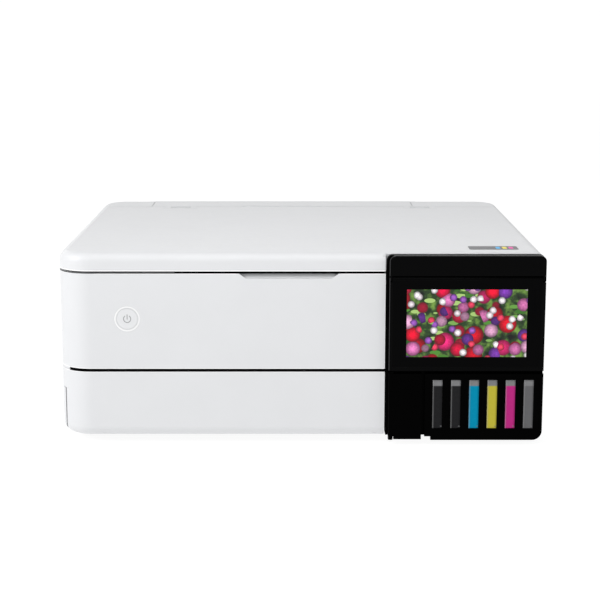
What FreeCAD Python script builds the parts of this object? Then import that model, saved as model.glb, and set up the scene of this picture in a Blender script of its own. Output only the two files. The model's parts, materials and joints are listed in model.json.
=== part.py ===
import FreeCAD, Part
import Sketcher
import math
import os
import re

# An A4 ink-tank photo printer as separate pieces, in millimetres.
# Origin at the bottom centre of the whole, +X to the right of someone facing it, +Y to the back, +Z up.
os.makedirs("parts", exist_ok=True)
doc = FreeCAD.newDocument("InkTankPrinter")
dims = doc.addObject("Spreadsheet::Sheet", "Dims")

# counts and angles
TANKS = 6
EJECT_TYRES = 6
PINCH_TYRES = 5
PLATEN_RIBS = 12
FEED_TEETH = 50
IDLER_TEETH = 35
EJECT_TEETH = 40
PINION_TEETH = 14
PINION_ANGLE = 30.77
CHUTE_ANGLE = 51.34
FULL_TURN = 360

SIZES = (
    # overall size, wall, seams and clearances; past is how far a cutter runs beyond what it cuts
    ("body_width", 403), ("body_depth", 347), ("body_height", 162), ("foot_height", 4.3),
    ("skin", 2.5), ("seam", 0.6), ("fit", 0.3), ("running", 0.05), ("past", 1), ("flat", 0.1),
    # white case
    ("front_setback", 6.2), ("corner_radius", 27), ("rear_radius", 20), ("back_radius", 24),
    ("base_round", 9),
    ("cover_bottom", 6), ("side_split", 28.3), ("rear_split", 23.2), ("side_lip", 13.2),
    ("floor_sheet", 3), ("floor_inset", 5.5), ("low_wall", 12), ("back_wall", 8), ("wall_start", 50),
    ("foot_radius", 9), ("foot_side", 36.5), ("foot_front", 63.5), ("foot_back", 33.5),
    ("screw_radius", 3.2), ("screw_head", 1), ("screw_side", 23.5), ("screw_front", 47.3),
    ("screw_back", 15.5), ("screw_step", 30), ("screw_tower", 11),
    # lid, rear deck and their common hinge
    ("lid_height", 14.9), ("lid_gap", 1.6), ("lid_round", 8), ("deck_length", 48), ("deck_seam", 1.5),
    ("deck_round", 8), ("hinge_inset", 3.5), ("hinge_drop", 2.7), ("hinge_side", 81.5), ("pin_radius", 1.5),
    ("ear_radius", 2.6), ("ear_width", 4), ("ear_gap", 0.4), ("knuckle_half", 5), ("hinge_notch", 16),
    ("notch_deep", 5.5), ("liner_back", 9), ("liner_sheet", 2), ("mat_inset", 2), ("mat_gap", 0.4),
    # front panel and power button
    ("upper_height", 98.35), ("front_gap", 2.1), ("grip_side", 150.2), ("grip_tower", 38.4),
    ("grip_slope", 7), ("grip_drop", 4.9), ("grip_depth", 4), ("grip_wall", 4), ("grip_floor", 3),
    ("button_side", 58.2), ("button_drop", 38.6), ("button_radius", 8.6), ("button_depth", 6.2),
    ("button_flange", 2), ("ring_width", 1.4),
    # front cover and its hinge
    ("door_axis_inset", 9.3), ("door_axis_z", 12), ("door_pin", 2), ("door_ear", 3.6), ("door_sheet", 4.8),
    ("door_tuck", 1.5), ("door_wrap", 21.9), ("lip_clear", 5), ("notch_drop", 17), ("notch_side", 4.7),
    ("lug_out", 8), ("lug_in", 2), ("lug_width", 3.6), ("lug_half", 3), ("lug_step", 4), ("lug_root", 0.5),
    ("sweep_clear", 7), ("ear_arm", 16), ("nose_side", 13), ("rail_foot", 10),
    # control tower
    ("tower_width", 130.5), ("tower_gap", 0.7), ("panel_inset", 2), ("tower_bottom", 4.9), ("tower_drop", 1),
    ("house_rise", 3.3), ("house_depth", 41), ("plate", 4.2), ("strip_height", 17.1), ("panel_seam", 0.8),
    ("panel_rise", 0.55), ("lower_drop", 2.05), ("top_round", 5.2), ("bottom_round", 8), ("slab", 4.4),
    ("slab_clear", 1.2), ("head_root", 5), ("tower_relief", 4), ("strip_round", 4.7),
    # tilting panel
    ("pivot_ear", 2.3), ("pivot_pin", 0.9), ("pivot_blind", 0.4), ("pin_blind", 0.7), ("pin_root", 6),
    ("glass_sheet", 0.8), ("glass_margin", 3), ("glass_top", 0.5), ("display_side", 14.5),
    ("display_end", 14.9), ("display_rise", 11.8), ("display_drop", 10.3), ("display_depth", 2.6),
    ("pod_depth", 11.3), ("pod_margin", 6), ("pod_low", 8), ("pod_high", 6), ("pod_clear", 2),
    # memory card cover and reader
    ("card_width", 27.7), ("card_rise", 0.6), ("card_gap", 2.7), ("card_edge", 0.15), ("card_axis", 2.2),
    ("card_ear", 2), ("card_lug", 1.7), ("card_foot", 2.2), ("card_pin", 1), ("card_step", 2.5),
    ("card_tab", 4), ("card_bore_low", 0.4), ("card_bore_high", 1.4), ("card_pin_low", 0.7),
    ("card_pin_high", 1.2), ("reader_inset", 7), ("reader_width", 16), ("reader_depth", 34),
    ("reader_rise", 12.1), ("reader_drop", 11.6), ("slot_half", 1.6), ("slot_depth", 28), ("slot_low", 4),
    ("slot_high", 3.5),
    # ink windows, tanks and caps
    ("bezel_step", 5.2), ("bezel_rise", 3.1), ("window_inset", 10.65), ("window_pitch", 15.15),
    ("window_width", 8.7), ("window_rise", 9.7), ("window_drop", 5.1), ("tank_hole_side", 1.5),
    ("tank_hole_low", 6.1), ("tank_hole_high", 2.6), ("tank_half", 6.8), ("tank_length", 87),
    ("tank_over", 2.4), ("tank_wall", 1.6), ("tank_inset", 3), ("neck_back", 18), ("neck_radius", 5.2),
    ("neck_bore", 4.1), ("neck_rise", 6), ("plug_radius", 3.6), ("plug_deep", 2.6), ("cap_half", 5.5),
    ("cap_reach", 12), ("cap_sheet", 3), ("cap_gap", 0.4), ("cap_axis_in", 2), ("cap_axis_drop", 0.5),
    ("cap_pin", 1.2), ("cap_lug", 2), ("cap_arm", 2), ("cap_root", 1),
    # paper path
    ("cassette_side", 41.5), ("cassette_tower", 13), ("cassette_inset", 15.3), ("cassette_wall", 2.5),
    ("cassette_floor", 2), ("cassette_nose", 4), ("cassette_rise", 5.7), ("main_inset", 19.5),
    ("main_share", 0.526316), ("photo_reach", 8), ("cassette_grip", 35), ("cassette_grip_deep", 7),
    ("tray_height", 8), ("tray_drop", 2.1), ("tray_gap", 1.5), ("tray_floor", 2), ("tray_wall", 2.5),
    ("tray_end", 10), ("ext_inset", 15), ("ext_side", 20), ("ext_end", 4), ("ext_sheet", 2.2),
    ("ext_stop", 33), ("ext_stop_sheet", 2.5), ("ext_stop_drop", 1),
    # print engine
    ("frame_left_gap", 6), ("frame_right_gap", 12), ("sheet", 2), ("rail_back", 113.5), ("rail_rise", 14),
    ("rail_height", 28), ("rail_side", 11.5), ("feed_step", 20), ("roller_rise", 3.4), ("feed_radius", 6.2),
    ("shaft", 3), ("eject_radius", 5.5), ("pinch_radius", 4.3), ("pinch_step", 2), ("pinch_axle", 1.5),
    ("gear_width", 4.6), ("gear_gap", 2), ("gear_module", 0.8), ("plate_front", 36), ("plate_back", 30),
    ("plate_rise", 6), ("pulley_side", 21.5), ("pulley_rise", 15), ("pulley_radius", 6.7),
    ("pulley_axle", 2), ("belt_sheet", 1.2), ("belt_gap", 8), ("belt_width", 6), ("belt_clear", 0.5),
    ("carriage_over", 3), ("carriage_width", 96), ("carriage_rise", 4), ("carriage_front", 2),
    ("carriage_wall", 8), ("well_front", 4), ("well_back", 16), ("hook_inset", 6), ("hook_rise", 9),
    ("head_inset", 18), ("head_front", 20), ("head_back", 14), ("head_rise", 8), ("can_radius", 13),
    ("can_length", 30), ("can_bore", 20), ("drive_length", 18), ("drive_hole", 3), ("feed_can_radius", 11.5),
    ("feed_can_length", 26), ("feed_can_bore", 18), ("pinion_axle", 1.5), ("pinion_hole", 2.2),
    ("pinion_length", 16), ("shaft_end", 1.5), ("stub_length", 8), ("tyre_left", 8), ("tyre_right", 6),
    ("eject_first", 14), ("eject_width", 16), ("pinch_first", 16), ("pinch_width", 26), ("pinch_last", 10),
    ("rib_first", 16), ("rib_last", 4), ("rib_width", 2), ("rib_rise", 6.5), ("platen_front", 12),
    ("platen_back_gap", 9), ("platen_low", 2), ("platen_top", 5),
    # waste ink, capping and electrics
    ("waste_inset", 8), ("waste_drop", 26), ("waste_grip", 15), ("waste_grip_deep", 6),
    ("waste_grip_low", 20), ("capping_inset", 13), ("capping_front", 16), ("capping_back", 8),
    ("cup_wall", 8),
    ("cup_front", 6), ("cup_deep", 3), ("board_left", 116.5), ("board_right", 16.5), ("board_back", 24),
    ("board_sheet", 1.6), ("board_drop", 13), ("chip_height", 2.4), ("main_chip_in", 27),
    ("main_chip_half", 12),
    ("chip_drop", 31), ("side_chip_in", 55), ("side_chip_half", 6), ("side_chip_drop", 29),
    ("driver_in", 79), ("driver_half", 5), ("driver_rise", 17.4), ("supply_side", 16.5), ("supply_gap", 2),
    ("supply_front", 35), ("supply_back", 13.6), ("supply_drop", 8),
    # sockets in the back wall
    ("inlet_side", 24.5), ("inlet_width", 22), ("inlet_low", 25), ("inlet_height", 20), ("inlet_deep", 13.3),
    ("data_side", 105.5), ("data_width", 16), ("data_low", 30), ("data_height", 14), ("data_deep", 23.7),
    ("lan_side", 81.5), ("lan_width", 18), ("lan_low", 28), ("lan_height", 16), ("lan_deep", 23.7),
    ("socket_cut", 9), ("socket_inset", 0.5), ("socket_wall", 2), ("socket_space", 10.5),
    # scanner
    ("tub_side", 5), ("tub_inset", 19.3), ("tub_end", 2.5), ("tub_height", 33), ("tub_drop", 0.5),
    ("glass_left_in", 31.5), ("glass_right_in", 59.5), ("glass_front_in", 42), ("glass_back_in", 8),
    ("glass_plate", 3), ("glass_seat", 5), ("glass_rear", 3), ("frame_sheet", 1.3), ("frame_end", 1.5),
    ("bar_rail", 3), ("bar_rail_top", 6), ("bar_side", 11.5), ("bar_width", 15), ("bar_front", 2),
    ("bar_back", 4), ("bar_drop", 5), ("ledge_back", 9), ("ledge_gap", 2), ("ear_root", 18),
    # rear feed
    ("flap_side", 51.5), ("flap_end", 87.9), ("flap_lead", 2.5), ("flap_axis_in", 4.2), ("flap_hole_in", 2.6),
    ("flap_gap", 0.5), ("flap_pin", 1), ("flap_pin_reach", 5), ("flap_bore_reach", 6), ("flap_grip", 40),
    ("flap_grip_deep", 4), ("feed_deep", 12), ("boss_width", 9), ("boss_length", 12.9), ("boss_height", 6),
    ("chute_foot", 55.5), ("chute_side", 2), ("chute_length", 72), ("stay_sheet", 3), ("stay_front", 26),
    ("stay_gap", 0.2), ("stay_low", 45), ("stay_high", 8), ("guide_side", 8), ("guide_sheet", 3),
    ("guide_low", 24), ("guide_high", 68), ("guide_rise", 17),
)
ALIASES = [alias for alias, _ in SIZES]
for row, (alias, number) in enumerate(SIZES, 1):
    dims.set(f"A{row}", alias)
    dims.set(f"B{row}", str(number))
    dims.setAlias(f"B{row}", alias)
doc.recompute()

# places worked out from the sizes above
PLACES = {
    # case
    "left": "-body_width / 2", "right": "body_width / 2",
    "tower_front": "-body_depth / 2", "back": "body_depth / 2",
    "white_front": "tower_front + front_setback", "inner_front": "white_front + skin",
    "lid_bottom": "body_height - lid_height", "case_top": "lid_bottom - lid_gap",
    "side_top": "case_top - seam", "side_front": "white_front + side_split",
    "rear_front": "back - rear_split", "wrap_end": "white_front + door_wrap",
    "front_split": "body_height - upper_height", "cover_top": "front_split - front_gap / 2",
    "panel_low": "front_split + front_gap / 2", "notch_top": "cover_top - notch_drop",
    "lip": "right - side_lip", "floor_half": "lip - fit", "floor_top": "foot_height + floor_sheet",
    "floor_back": "back - floor_inset", "low_band": "cover_bottom + base_round",
    "foot_x": "right - foot_side", "foot_near": "tower_front + foot_front", "foot_far": "back - foot_back",
    "screw_x": "right - screw_side", "screw_near": "white_front + screw_front",
    "screw_far": "back - screw_back",
    # lid, deck and hinge
    "deck_front": "back - deck_length", "lid_back": "deck_front - deck_seam",
    "hinge_y": "lid_back - hinge_inset", "hinge_z": "body_height - hinge_drop",
    "hinge_x": "right - hinge_side", "outer_ear": "knuckle_half + ear_gap + ear_width + ear_gap",
    # front
    "grip_left": "left + grip_side", "grip_right": "tower_left - grip_tower",
    "button_x": "left + button_side", "button_z": "case_top - button_drop",
    "button_back": "white_front + button_depth", "ring_radius": "button_radius + fit + ring_width",
    "door_y": "white_front + door_axis_inset", "floor_front": "door_y + sweep_clear",
    "lug_left": "cassette_left - lug_out", "lug_right": "cassette_right + lug_in",
    # tower and panel
    "tower_left": "right - tower_width", "white_right": "tower_left - tower_gap",
    "panel_left": "tower_left + panel_inset", "tower_top": "body_height - tower_drop",
    "strip_bottom": "tower_top - strip_height", "panel_top": "strip_bottom - panel_seam",
    "panel_bottom": "front_split + panel_rise", "lower_top": "front_split - lower_drop",
    "panel_back": "tower_front + plate", "house_front": "panel_back + fit",
    "house_bottom": "tower_bottom + house_rise", "tower_back": "house_front + house_depth",
    "pivot_y": "tower_front + plate / 2", "pivot_z": "panel_top - plate / 2",
    "half_round": "plate / 2 - flat", "lid_right_front": "house_front + slab + slab_clear",
    "glass_high": "panel_top - plate / 2 - glass_top",
    "display_left": "panel_left + display_side", "display_right": "right - display_end",
    "display_low": "panel_bottom + display_rise", "display_high": "panel_top - display_drop",
    "card_right": "panel_left + card_width", "card_bottom": "tower_bottom + card_rise",
    "card_x": "panel_left + card_axis", "card_top": "lower_top + fit",
    "reader_left": "panel_left + reader_inset", "reader_right": "reader_left + reader_width",
    "reader_low": "tower_bottom + reader_rise", "reader_high": "lower_top - reader_drop",
    # ink
    "bezel_left": "card_right + card_gap", "window_first": "bezel_left + window_inset",
    "window_low": "tower_bottom + window_rise", "window_high": "lower_top - window_drop",
    "tank_bottom": "house_bottom + skin + fit", "tank_top": "lower_top + tank_over",
    "tank_front": "house_front + tank_inset", "tank_back": "house_front + tank_length",
    "neck_y": "tank_back - neck_back", "neck_top": "tank_top + neck_rise",
    "cap_low": "neck_top + cap_gap", "cap_high": "cap_low + cap_sheet",
    "cap_axis_y": "tank_back - cap_axis_in", "cap_axis_z": "neck_top - cap_axis_drop",
    # paper
    "cassette_left": "left + cassette_side", "cassette_right": "tower_left - cassette_tower",
    "cassette_mid": "(cassette_left + cassette_right) / 2", "cassette_front": "white_front + cassette_inset",
    "main_low": "floor_top + cassette_rise", "main_back": "back - main_inset",
    "tray_high": "cover_top - tray_drop", "tray_low": "tray_high - tray_height",
    "photo_top": "tray_low - tray_gap", "photo_back": "feed_y + photo_reach",
    "main_top": "main_low + (photo_top - main_low) * main_share",
    "tray_back": "eject_y - tray_end", "ext_front": "cassette_front + ext_inset",
    "ext_low": "tray_low + tray_floor + fit",
    # engine
    "frame_left": "cassette_left - frame_left_gap", "frame_right": "cassette_right + frame_right_gap",
    "frame_inner": "frame_left + sheet + fit", "frame_outer": "frame_right - fit",
    "frame_mid": "(frame_inner + frame_outer) / 2", "frame_span": "frame_right - frame_left",
    "rail_y": "back - rail_back", "rail_end": "right - rail_side", "rail_low": "roller_z + rail_rise",
    "rail_high": "rail_low + rail_height", "roller_z": "cover_top + roller_rise",
    "feed_y": "rail_y - feed_step", "idler_y": f"feed_y - gear_module * {FEED_TEETH + IDLER_TEETH} / 2",
    "eject_y": f"idler_y - gear_module * {IDLER_TEETH + EJECT_TEETH} / 2",
    "pinion_reach": f"gear_module * {FEED_TEETH + PINION_TEETH} / 2",
    "pinion_y": f"feed_y + pinion_reach * cos({PINION_ANGLE})",
    "pinion_z": f"roller_z - pinion_reach * sin({PINION_ANGLE})",
    "pinch_y": "feed_y + pinch_step", "pinch_z": "roller_z + feed_radius + fit + pinch_radius",
    "gear_right": "frame_left - gear_gap", "platen_back": "feed_y - platen_back_gap",
    "pulley_x": "right - pulley_side", "pulley_z": "rail_low + pulley_rise",
    "belt_front": "rail_y - belt_gap", "belt_back": "belt_front + belt_width",
    "belt_inner": "pulley_radius + fit", "motor_front": "rail_y + skin",
    "carriage_right": "pulley_x + carriage_over", "carriage_left": "carriage_right - carriage_width",
    "carriage_mid": "(carriage_left + carriage_right) / 2", "carriage_low": "rail_low + carriage_rise",
    "frame_back": "rail_y + plate_back", "waste_top": "roller_z - waste_drop",
    "board_low": "floor_top + fit", "board_top": "rail_high - board_drop", "board_x": "right - board_left",
    # scanner and rear feed
    "tub_half": "right - tub_side", "tub_front": "white_front + tub_inset", "tub_back": "hinge_y - tub_end",
    "tub_top": "case_top - tub_drop", "tub_low": "tub_top - tub_height",
    "glass_left": "-tub_half + glass_left_in", "glass_right": "tub_half - glass_right_in",
    "glass_front": "tub_front + glass_front_in", "glass_back": "tub_back - glass_back_in",
    "flap_left": "left + flap_side", "flap_right": "right - flap_end",
    "flap_mid": "(flap_left + flap_right) / 2", "flap_front": "deck_front + flap_lead",
    "flap_axis_y": "back - flap_axis_in", "flap_back": "back - flap_hole_in",
    "flap_z": "body_height - skin / 2",
}


def ex(text):
    """Expression text with the sheet's cells and the places above written out."""
    def swap(match):
        word = match.group(0)
        if word in PLACES:
            return "(" + ex(PLACES[word]) + ")"
        return "Dims." + word if word in ALIASES else word
    return re.sub(r"[a-z][a-z_0-9]*", swap, str(text))


def num(text):
    """The present value of an expression."""
    return float(dims.evalExpression(ex(text)))


def bind(obj, **texts):
    """Tie properties of an object to expressions; a double underscore stands for a dot."""
    for prop, text in texts.items():
        obj.setExpression(prop.replace("__", "."), ex(text))
    return obj


def about(middle, half):
    """The two ends of a length that lies evenly about a middle."""
    return (f"{middle} - ({half})", f"{middle} + ({half})")


def box(name, x, y, z):
    """A block between two ends on each axis."""
    block = doc.addObject("Part::Box", name)
    for prop, ends in zip(("Length", "Width", "Height"), (x, y, z)):
        bind(block, **{prop: f"({ends[1]}) - ({ends[0]})"})
    for axis, ends in zip("xyz", (x, y, z)):
        bind(block, **{f"Placement__Base__{axis}": ends[0]})
    return block


TURNS = {"x": ((0, 1, 0), 90), "y": ((1, 0, 0), -90), "z": ((0, 0, 1), 0)}


def rod(name, axis, ends, radius, centre):
    """A cylinder along an axis; centre gives the other two places in x, y, z order."""
    bar = doc.addObject("Part::Cylinder", name)
    turn, angle = TURNS[axis]
    bar.Placement = FreeCAD.Placement(FreeCAD.Vector(), FreeCAD.Rotation(FreeCAD.Vector(*turn), angle))
    bind(bar, Radius=radius, Height=f"({ends[1]}) - ({ends[0]})")
    rest = list(centre)
    for letter in "xyz":
        bind(bar, **{f"Placement__Base__{letter}": ends[0] if letter == axis else rest.pop(0)})
    return bar


def fuse(name, *shapes):
    joined = doc.addObject("Part::MultiFuse", name)
    joined.Shapes = list(shapes)
    joined.Refine = True
    return joined


def cut(name, base, *tools):
    tool = tools[0] if len(tools) == 1 else fuse(name + "_tools", *tools)
    result = doc.addObject("Part::Cut", name)
    result.Base = base
    result.Tool = tool
    result.Refine = True
    return result


def common(name, base, tool):
    result = doc.addObject("Part::Common", name)
    result.Base = base
    result.Tool = tool
    return result


PLANES = {"xy": "XY_Plane", "xz": "XZ_Plane", "yz": "YZ_Plane"}


def sketch(body, name, plane, u, v, height):
    """A rectangle sketched on one of the body's planes at a height along the third axis."""
    drawn = body.newObject("Sketcher::SketchObject", name)
    origin = [f for f in body.Origin.OriginFeatures if f.Role == PLANES[plane]][0]
    drawn.AttachmentSupport = [(origin, "")]
    drawn.MapMode = "FlatFace"
    bind(drawn, AttachmentOffset__Base__z=f"-({height})" if plane == "xz" else height)
    low = FreeCAD.Vector(num(u[0]), num(v[0]), 0)
    high = FreeCAD.Vector(num(u[1]), num(v[1]), 0)
    corners = [low, FreeCAD.Vector(high.x, low.y, 0), high, FreeCAD.Vector(low.x, high.y, 0)]
    for i in range(4):
        drawn.addGeometry(Part.LineSegment(corners[i], corners[(i + 1) % 4]), False)
    for i in range(4):
        drawn.addConstraint(Sketcher.Constraint("Coincident", i, 2, (i + 1) % 4, 1))
    for i, kind in enumerate(("Horizontal", "Vertical", "Horizontal", "Vertical")):
        drawn.addConstraint(Sketcher.Constraint(kind, i))
    sides = (("u0", "DistanceX", 0, 1, u[0]), ("v0", "DistanceY", 0, 1, v[0]),
             ("u1", "DistanceX", 1, 2, u[1]), ("v1", "DistanceY", 1, 2, v[1]))
    for label, kind, line, point, text in sides:
        k = drawn.addConstraint(Sketcher.Constraint(kind, -1, 1, line, point, num(text)))
        drawn.renameConstraint(k, label)
        bind(drawn, **{f"Constraints__{label}": text})
    return drawn


def slab(name, plane, u, v, w):
    """A body padded from a rectangle, from w[0] to w[1] along the plane's own axis."""
    body = doc.addObject("PartDesign::Body", name)
    drawn = sketch(body, name + "_outline", plane, u, v, w[1] if plane == "xz" else w[0])
    pad = body.newObject("PartDesign::Pad", name + "_pad")
    pad.Profile = drawn
    bind(pad, Length=f"({w[1]}) - ({w[0]})")
    doc.recompute()
    return body


def pocket(body, name, plane, u, v, w):
    """A rectangular hollow in a body, from w[0] to w[1] along the plane's own axis."""
    drawn = sketch(body, name + "_outline", plane, u, v, w[0] if plane == "xz" else w[1])
    hollow = body.newObject("PartDesign::Pocket", name)
    hollow.Profile = drawn
    bind(hollow, Length=f"({w[1]}) - ({w[0]})")
    doc.recompute()
    return hollow


def chosen(shape, wanted):
    """Names of the edges that keep to the wanted sides, such as dict(x='min', y='max')."""
    box_all = shape.BoundBox
    names = []
    for i, edge in enumerate(shape.Edges, 1):
        b = edge.BoundBox
        for sides in wanted:
            good = True
            for letter, side in sides.items():
                low = getattr(b, letter.upper() + "Min")
                high = getattr(b, letter.upper() + "Max")
                goal = getattr(box_all, letter.upper() + side.capitalize())
                good = good and abs(low - goal) < 1e-4 and abs(high - goal) < 1e-4
            if good:
                names.append(f"Edge{i}")
                break
    return names


def rounded(body, radius, *wanted):
    """Round the edges of a body that lie on the wanted sides."""
    doc.recompute()
    last = body.Tip
    soft = body.newObject("PartDesign::Fillet", f"{body.Name}_round")
    soft.Base = (last, chosen(last.Shape, wanted))
    bind(soft, Radius=radius)
    doc.recompute()
    return body


def softened(body, radius, sharp):
    """Round the top edges of a body, all but those that also lie on the sharp side."""
    doc.recompute()
    last = body.Tip
    keep = chosen(last.Shape, [dict(z="max", **sharp)])
    soft = body.newObject("PartDesign::Fillet", f"{body.Name}_soft")
    soft.Base = (last, [name for name in chosen(last.Shape, [dict(z="max")]) if name not in keep])
    bind(soft, Radius=radius)
    doc.recompute()
    return body


NODES = []


def node(obj, label):
    """Mark a finished piece as one to write out under its label."""
    obj.Label = label
    NODES.append(obj)
    return obj


# white case: one rounded envelope, hollowed and then parted into covers
def envelope(name, inset, low, high, base):
    body = slab(name, "xy", (f"left + {inset}", f"right - {inset}"),
                (f"white_front + {inset}", f"back - {inset}"), (low, high))
    rounded(body, f"corner_radius - {inset}", dict(x="min", y="min"))
    rounded(body, f"back_radius - {inset}", dict(x="min", y="max"), dict(x="max", y="max"))
    rounded(body, f"rear_radius - {inset}", dict(x="max", y="min"))
    return rounded(body, base, dict(z="min"))


case_outer = envelope("case_outer", "0", "cover_bottom", "case_top", "base_round")
case_inner = envelope("case_inner", "skin", "cover_bottom + skin", "case_top + past", "base_round - skin")
case_shell = cut("case_shell", case_outer, case_inner)
over_left = "left - past"
over_right = "right + past"

left_zone = fuse(
    "left_zone",
    box("left_main", (over_left, "-lip"), ("side_front + seam", "rear_front - seam"), ("0", "side_top")),
    box("left_low", (over_left, "-lip"), ("wrap_end + seam", "side_front + 2 * past"), ("0", "cover_top")),
    box("left_nose", (over_left, "left + notch_side - seam - ear_gap"),
        ("white_front", "wrap_end + 2 * past"),
        ("0", "notch_top - seam")),
)
node(common("left_cover", case_shell, left_zone), "left_side_cover")
right_zone = box("right_zone", ("lip", over_right), ("tower_back + seam", "rear_front - seam"),
                 ("0", "side_top"))
node(common("right_cover", case_shell, right_zone), "right_side_cover")

# upper front panel with the finger grip and the bore for the power button
panel_zone = box("panel_zone", (over_left, "white_right"), ("white_front - past", "side_front"),
                 ("panel_low", "case_top"))
grip_block = box("grip_block", ("grip_left - grip_wall", "grip_right + grip_wall"),
                 ("white_front + past", "inner_front + grip_depth"),
                 ("case_top - grip_drop - grip_floor", "case_top"))
scoop = doc.addObject("Part::Wedge", "scoop")
scoop.Placement = FreeCAD.Placement(FreeCAD.Vector(), FreeCAD.Rotation(FreeCAD.Vector(1, 0, 0), 90))
bind(scoop, Xmin="grip_left + grip_slope", Xmax="grip_right - grip_slope", X2min="grip_left",
     X2max="grip_right", Ymin="case_top - grip_drop", Ymax="case_top",
     Zmin="-white_front - grip_depth / 3", Zmax="-white_front + 2 * past",
     Z2min="-white_front - grip_depth", Z2max="-white_front + 2 * past")
button_place = ("button_x", "button_z")
button_bore = rod("button_bore", "y", ("white_front - past", "inner_front + past"), "ring_radius + fit",
                  button_place)
front_solid = fuse("front_solid", common("front_skin", case_shell, panel_zone), grip_block)
node(cut("front_piece", front_solid, scoop, button_bore), "front_panel")

ring_tube = rod("ring_tube", "y", ("white_front", "button_back"), "ring_radius", button_place)
ring_hole = rod("ring_hole", "y", ("white_front - past", "button_back + past"), "button_radius + fit",
                button_place)
node(cut("ring_piece", ring_tube, ring_hole), "power_ring")
button_end = "button_back + button_flange"
button_cap = rod("button_cap", "y", ("white_front", button_end), "button_radius", button_place)
button_stop = rod("button_stop", "y", ("button_back + fit", button_end), "button_radius + ring_width",
                  button_place)
node(fuse("button_piece", button_cap, button_stop), "power_button")

# lower front cover, wrapped round the left corner, with its two hinge lugs and pins
door_axis = ("door_y", "door_axis_z")
door_zone = fuse(
    "door_zone",
    box("door_flat", (over_left, "white_right"), ("white_front - past", "white_front + door_sheet"),
        ("0", "cover_top")),
    box("door_corner", (over_left, "left + corner_radius - door_tuck"), ("white_front - past", "wrap_end"),
        ("0", "cover_top")),
)
door_skin = common("door_skin", case_shell, door_zone)
door_notch = box("door_notch", (over_left, "left + notch_side"), ("white_front - past", "wrap_end + past"),
                 ("0", "notch_top"))
door_lip = box("door_lip", ("left + notch_side", "left + corner_radius"),
               ("door_y + lip_clear", "wrap_end + past"),
               ("0", "low_band"))
door_parts = [cut("door_plate", door_skin, door_notch, door_lip)]
for side, x in (("l", "lug_left"), ("r", "lug_right")):
    width = (x, f"{x} + lug_width")
    door_parts.append(box(f"door_lug_{side}", width, ("inner_front - lug_root", "door_y"),
                          about("door_axis_z", "lug_half")))
    door_parts.append(rod(f"door_knuckle_{side}", "x", width, "lug_half", door_axis))
    reach = (f"{x} - lug_step", f"{x} + past")
    if side == "r":
        reach = (f"{x} + lug_width - past", f"{x} + lug_width + lug_step")
    door_parts.append(rod(f"door_pin_{side}", "x", reach, "door_pin", door_axis))
node(fuse("door_piece", *door_parts), "front_cover")

# bottom case: floor, low walls, cassette rails and the ears that carry the front cover
floor_z = ("foot_height", "floor_top")
floor_y = ("side_front", "floor_back")
low_wall_z = ("foot_height", "floor_top + low_wall")
rail_z = ("foot_height", "main_low - fit")
case_parts = [
    box("floor_left", ("-floor_half", "tower_left - seam"), floor_y, floor_z),
    box("floor_nose", ("cassette_left - nose_side", "tower_left - seam"),
        ("floor_front", "side_front + past"),
        floor_z),
    box("floor_right", ("tower_left - seam - past", "floor_half"), ("tower_back + seam", "floor_back"),
        floor_z),
    box("wall_left", ("-floor_half", "-floor_half + skin"), floor_y, low_wall_z),
    box("wall_right", ("floor_half - skin", "floor_half"), ("tower_back + wall_start", "floor_back"),
        low_wall_z),
    box("wall_back", ("-floor_half", "floor_half"), ("floor_back - skin", "floor_back"),
        ("foot_height", "floor_top + back_wall")),
    box("rail_left", ("cassette_left", "cassette_left + rail_foot"), ("floor_front", "main_back"), rail_z),
    box("rail_right", ("cassette_right - rail_foot", "cassette_right"), ("floor_front", "main_back"), rail_z),
]
for side, x in (("l", "lug_left - lug_step"), ("r", "lug_right + lug_step")):
    width = (x, f"{x} + lug_width")
    case_parts.append(box(f"ear_arm_{side}", width, ("door_y", "door_y + ear_arm"),
                          ("foot_height", "door_axis_z + door_ear")))
    case_parts.append(rod(f"ear_eye_{side}", "x", width, "door_ear", door_axis))
ear_bores = rod("ear_bores", "x", ("left", "tower_left"), "door_pin + running", door_axis)
ear_relief = box("ear_relief", ("left", "tower_left"), ("door_y - door_ear - past", "floor_front"),
                 ("0", "door_axis_z - door_ear"))
node(cut("case_piece", fuse("case_all", *case_parts), ear_bores, ear_relief), "bottom_case")

FOOT_PLACES = (("-foot_x", "foot_near"), ("foot_x", "foot_near"), ("-foot_x", "foot_far"),
               ("foot_x", "foot_far"))
foot_z = ("0", "foot_height")
feet = [rod(f"foot_{i}", "z", foot_z, "foot_radius", place) for i, place in enumerate(FOOT_PLACES)]
node(fuse("feet_all", *feet), "feet")
SCREW_PLACES = (
    ("-screw_x", "screw_near"), ("tower_left - screw_tower", "screw_near"), ("-screw_x", "rail_y"),
    ("screw_x", "rail_y"), ("-hinge_x + screw_step", "screw_far"), ("hinge_x - screw_step", "screw_far"),
)
screw_z = ("foot_height - screw_head", "foot_height")
screws = [rod(f"screw_{i}", "z", screw_z, "screw_radius", place) for i, place in enumerate(SCREW_PLACES)]
node(fuse("screws_all", *screws), "case_screws")

# hinge shared by the rear housing, the scanner and the lid: each ear is a block and an eye on the axis
hinge_axis = ("hinge_y", "hinge_z")


def ear(name, x, y, z):
    """A hinge ear between two places across: its block and its rounded eye."""
    return [box(name, x, y, z), rod(f"{name}_eye", "x", x, "ear_radius", hinge_axis)]


def ear_pairs(name, near, y, z):
    """Two ears either side of each hinge, starting at a distance from the hinge's middle."""
    ears = []
    for side, middle in (("l", "-hinge_x"), ("r", "hinge_x")):
        ears += ear(f"{name}_{side}a", (f"{middle} + {near}", f"{middle} + {near} + ear_width"), y, z)
        ears += ear(f"{name}_{side}b", (f"{middle} - {near} - ear_width", f"{middle} - ({near})"), y, z)
    return ears


hinge_reach = ("-hinge_x - hinge_notch", "hinge_x + hinge_notch")
ear_z = about("hinge_z", "ear_radius")

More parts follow.
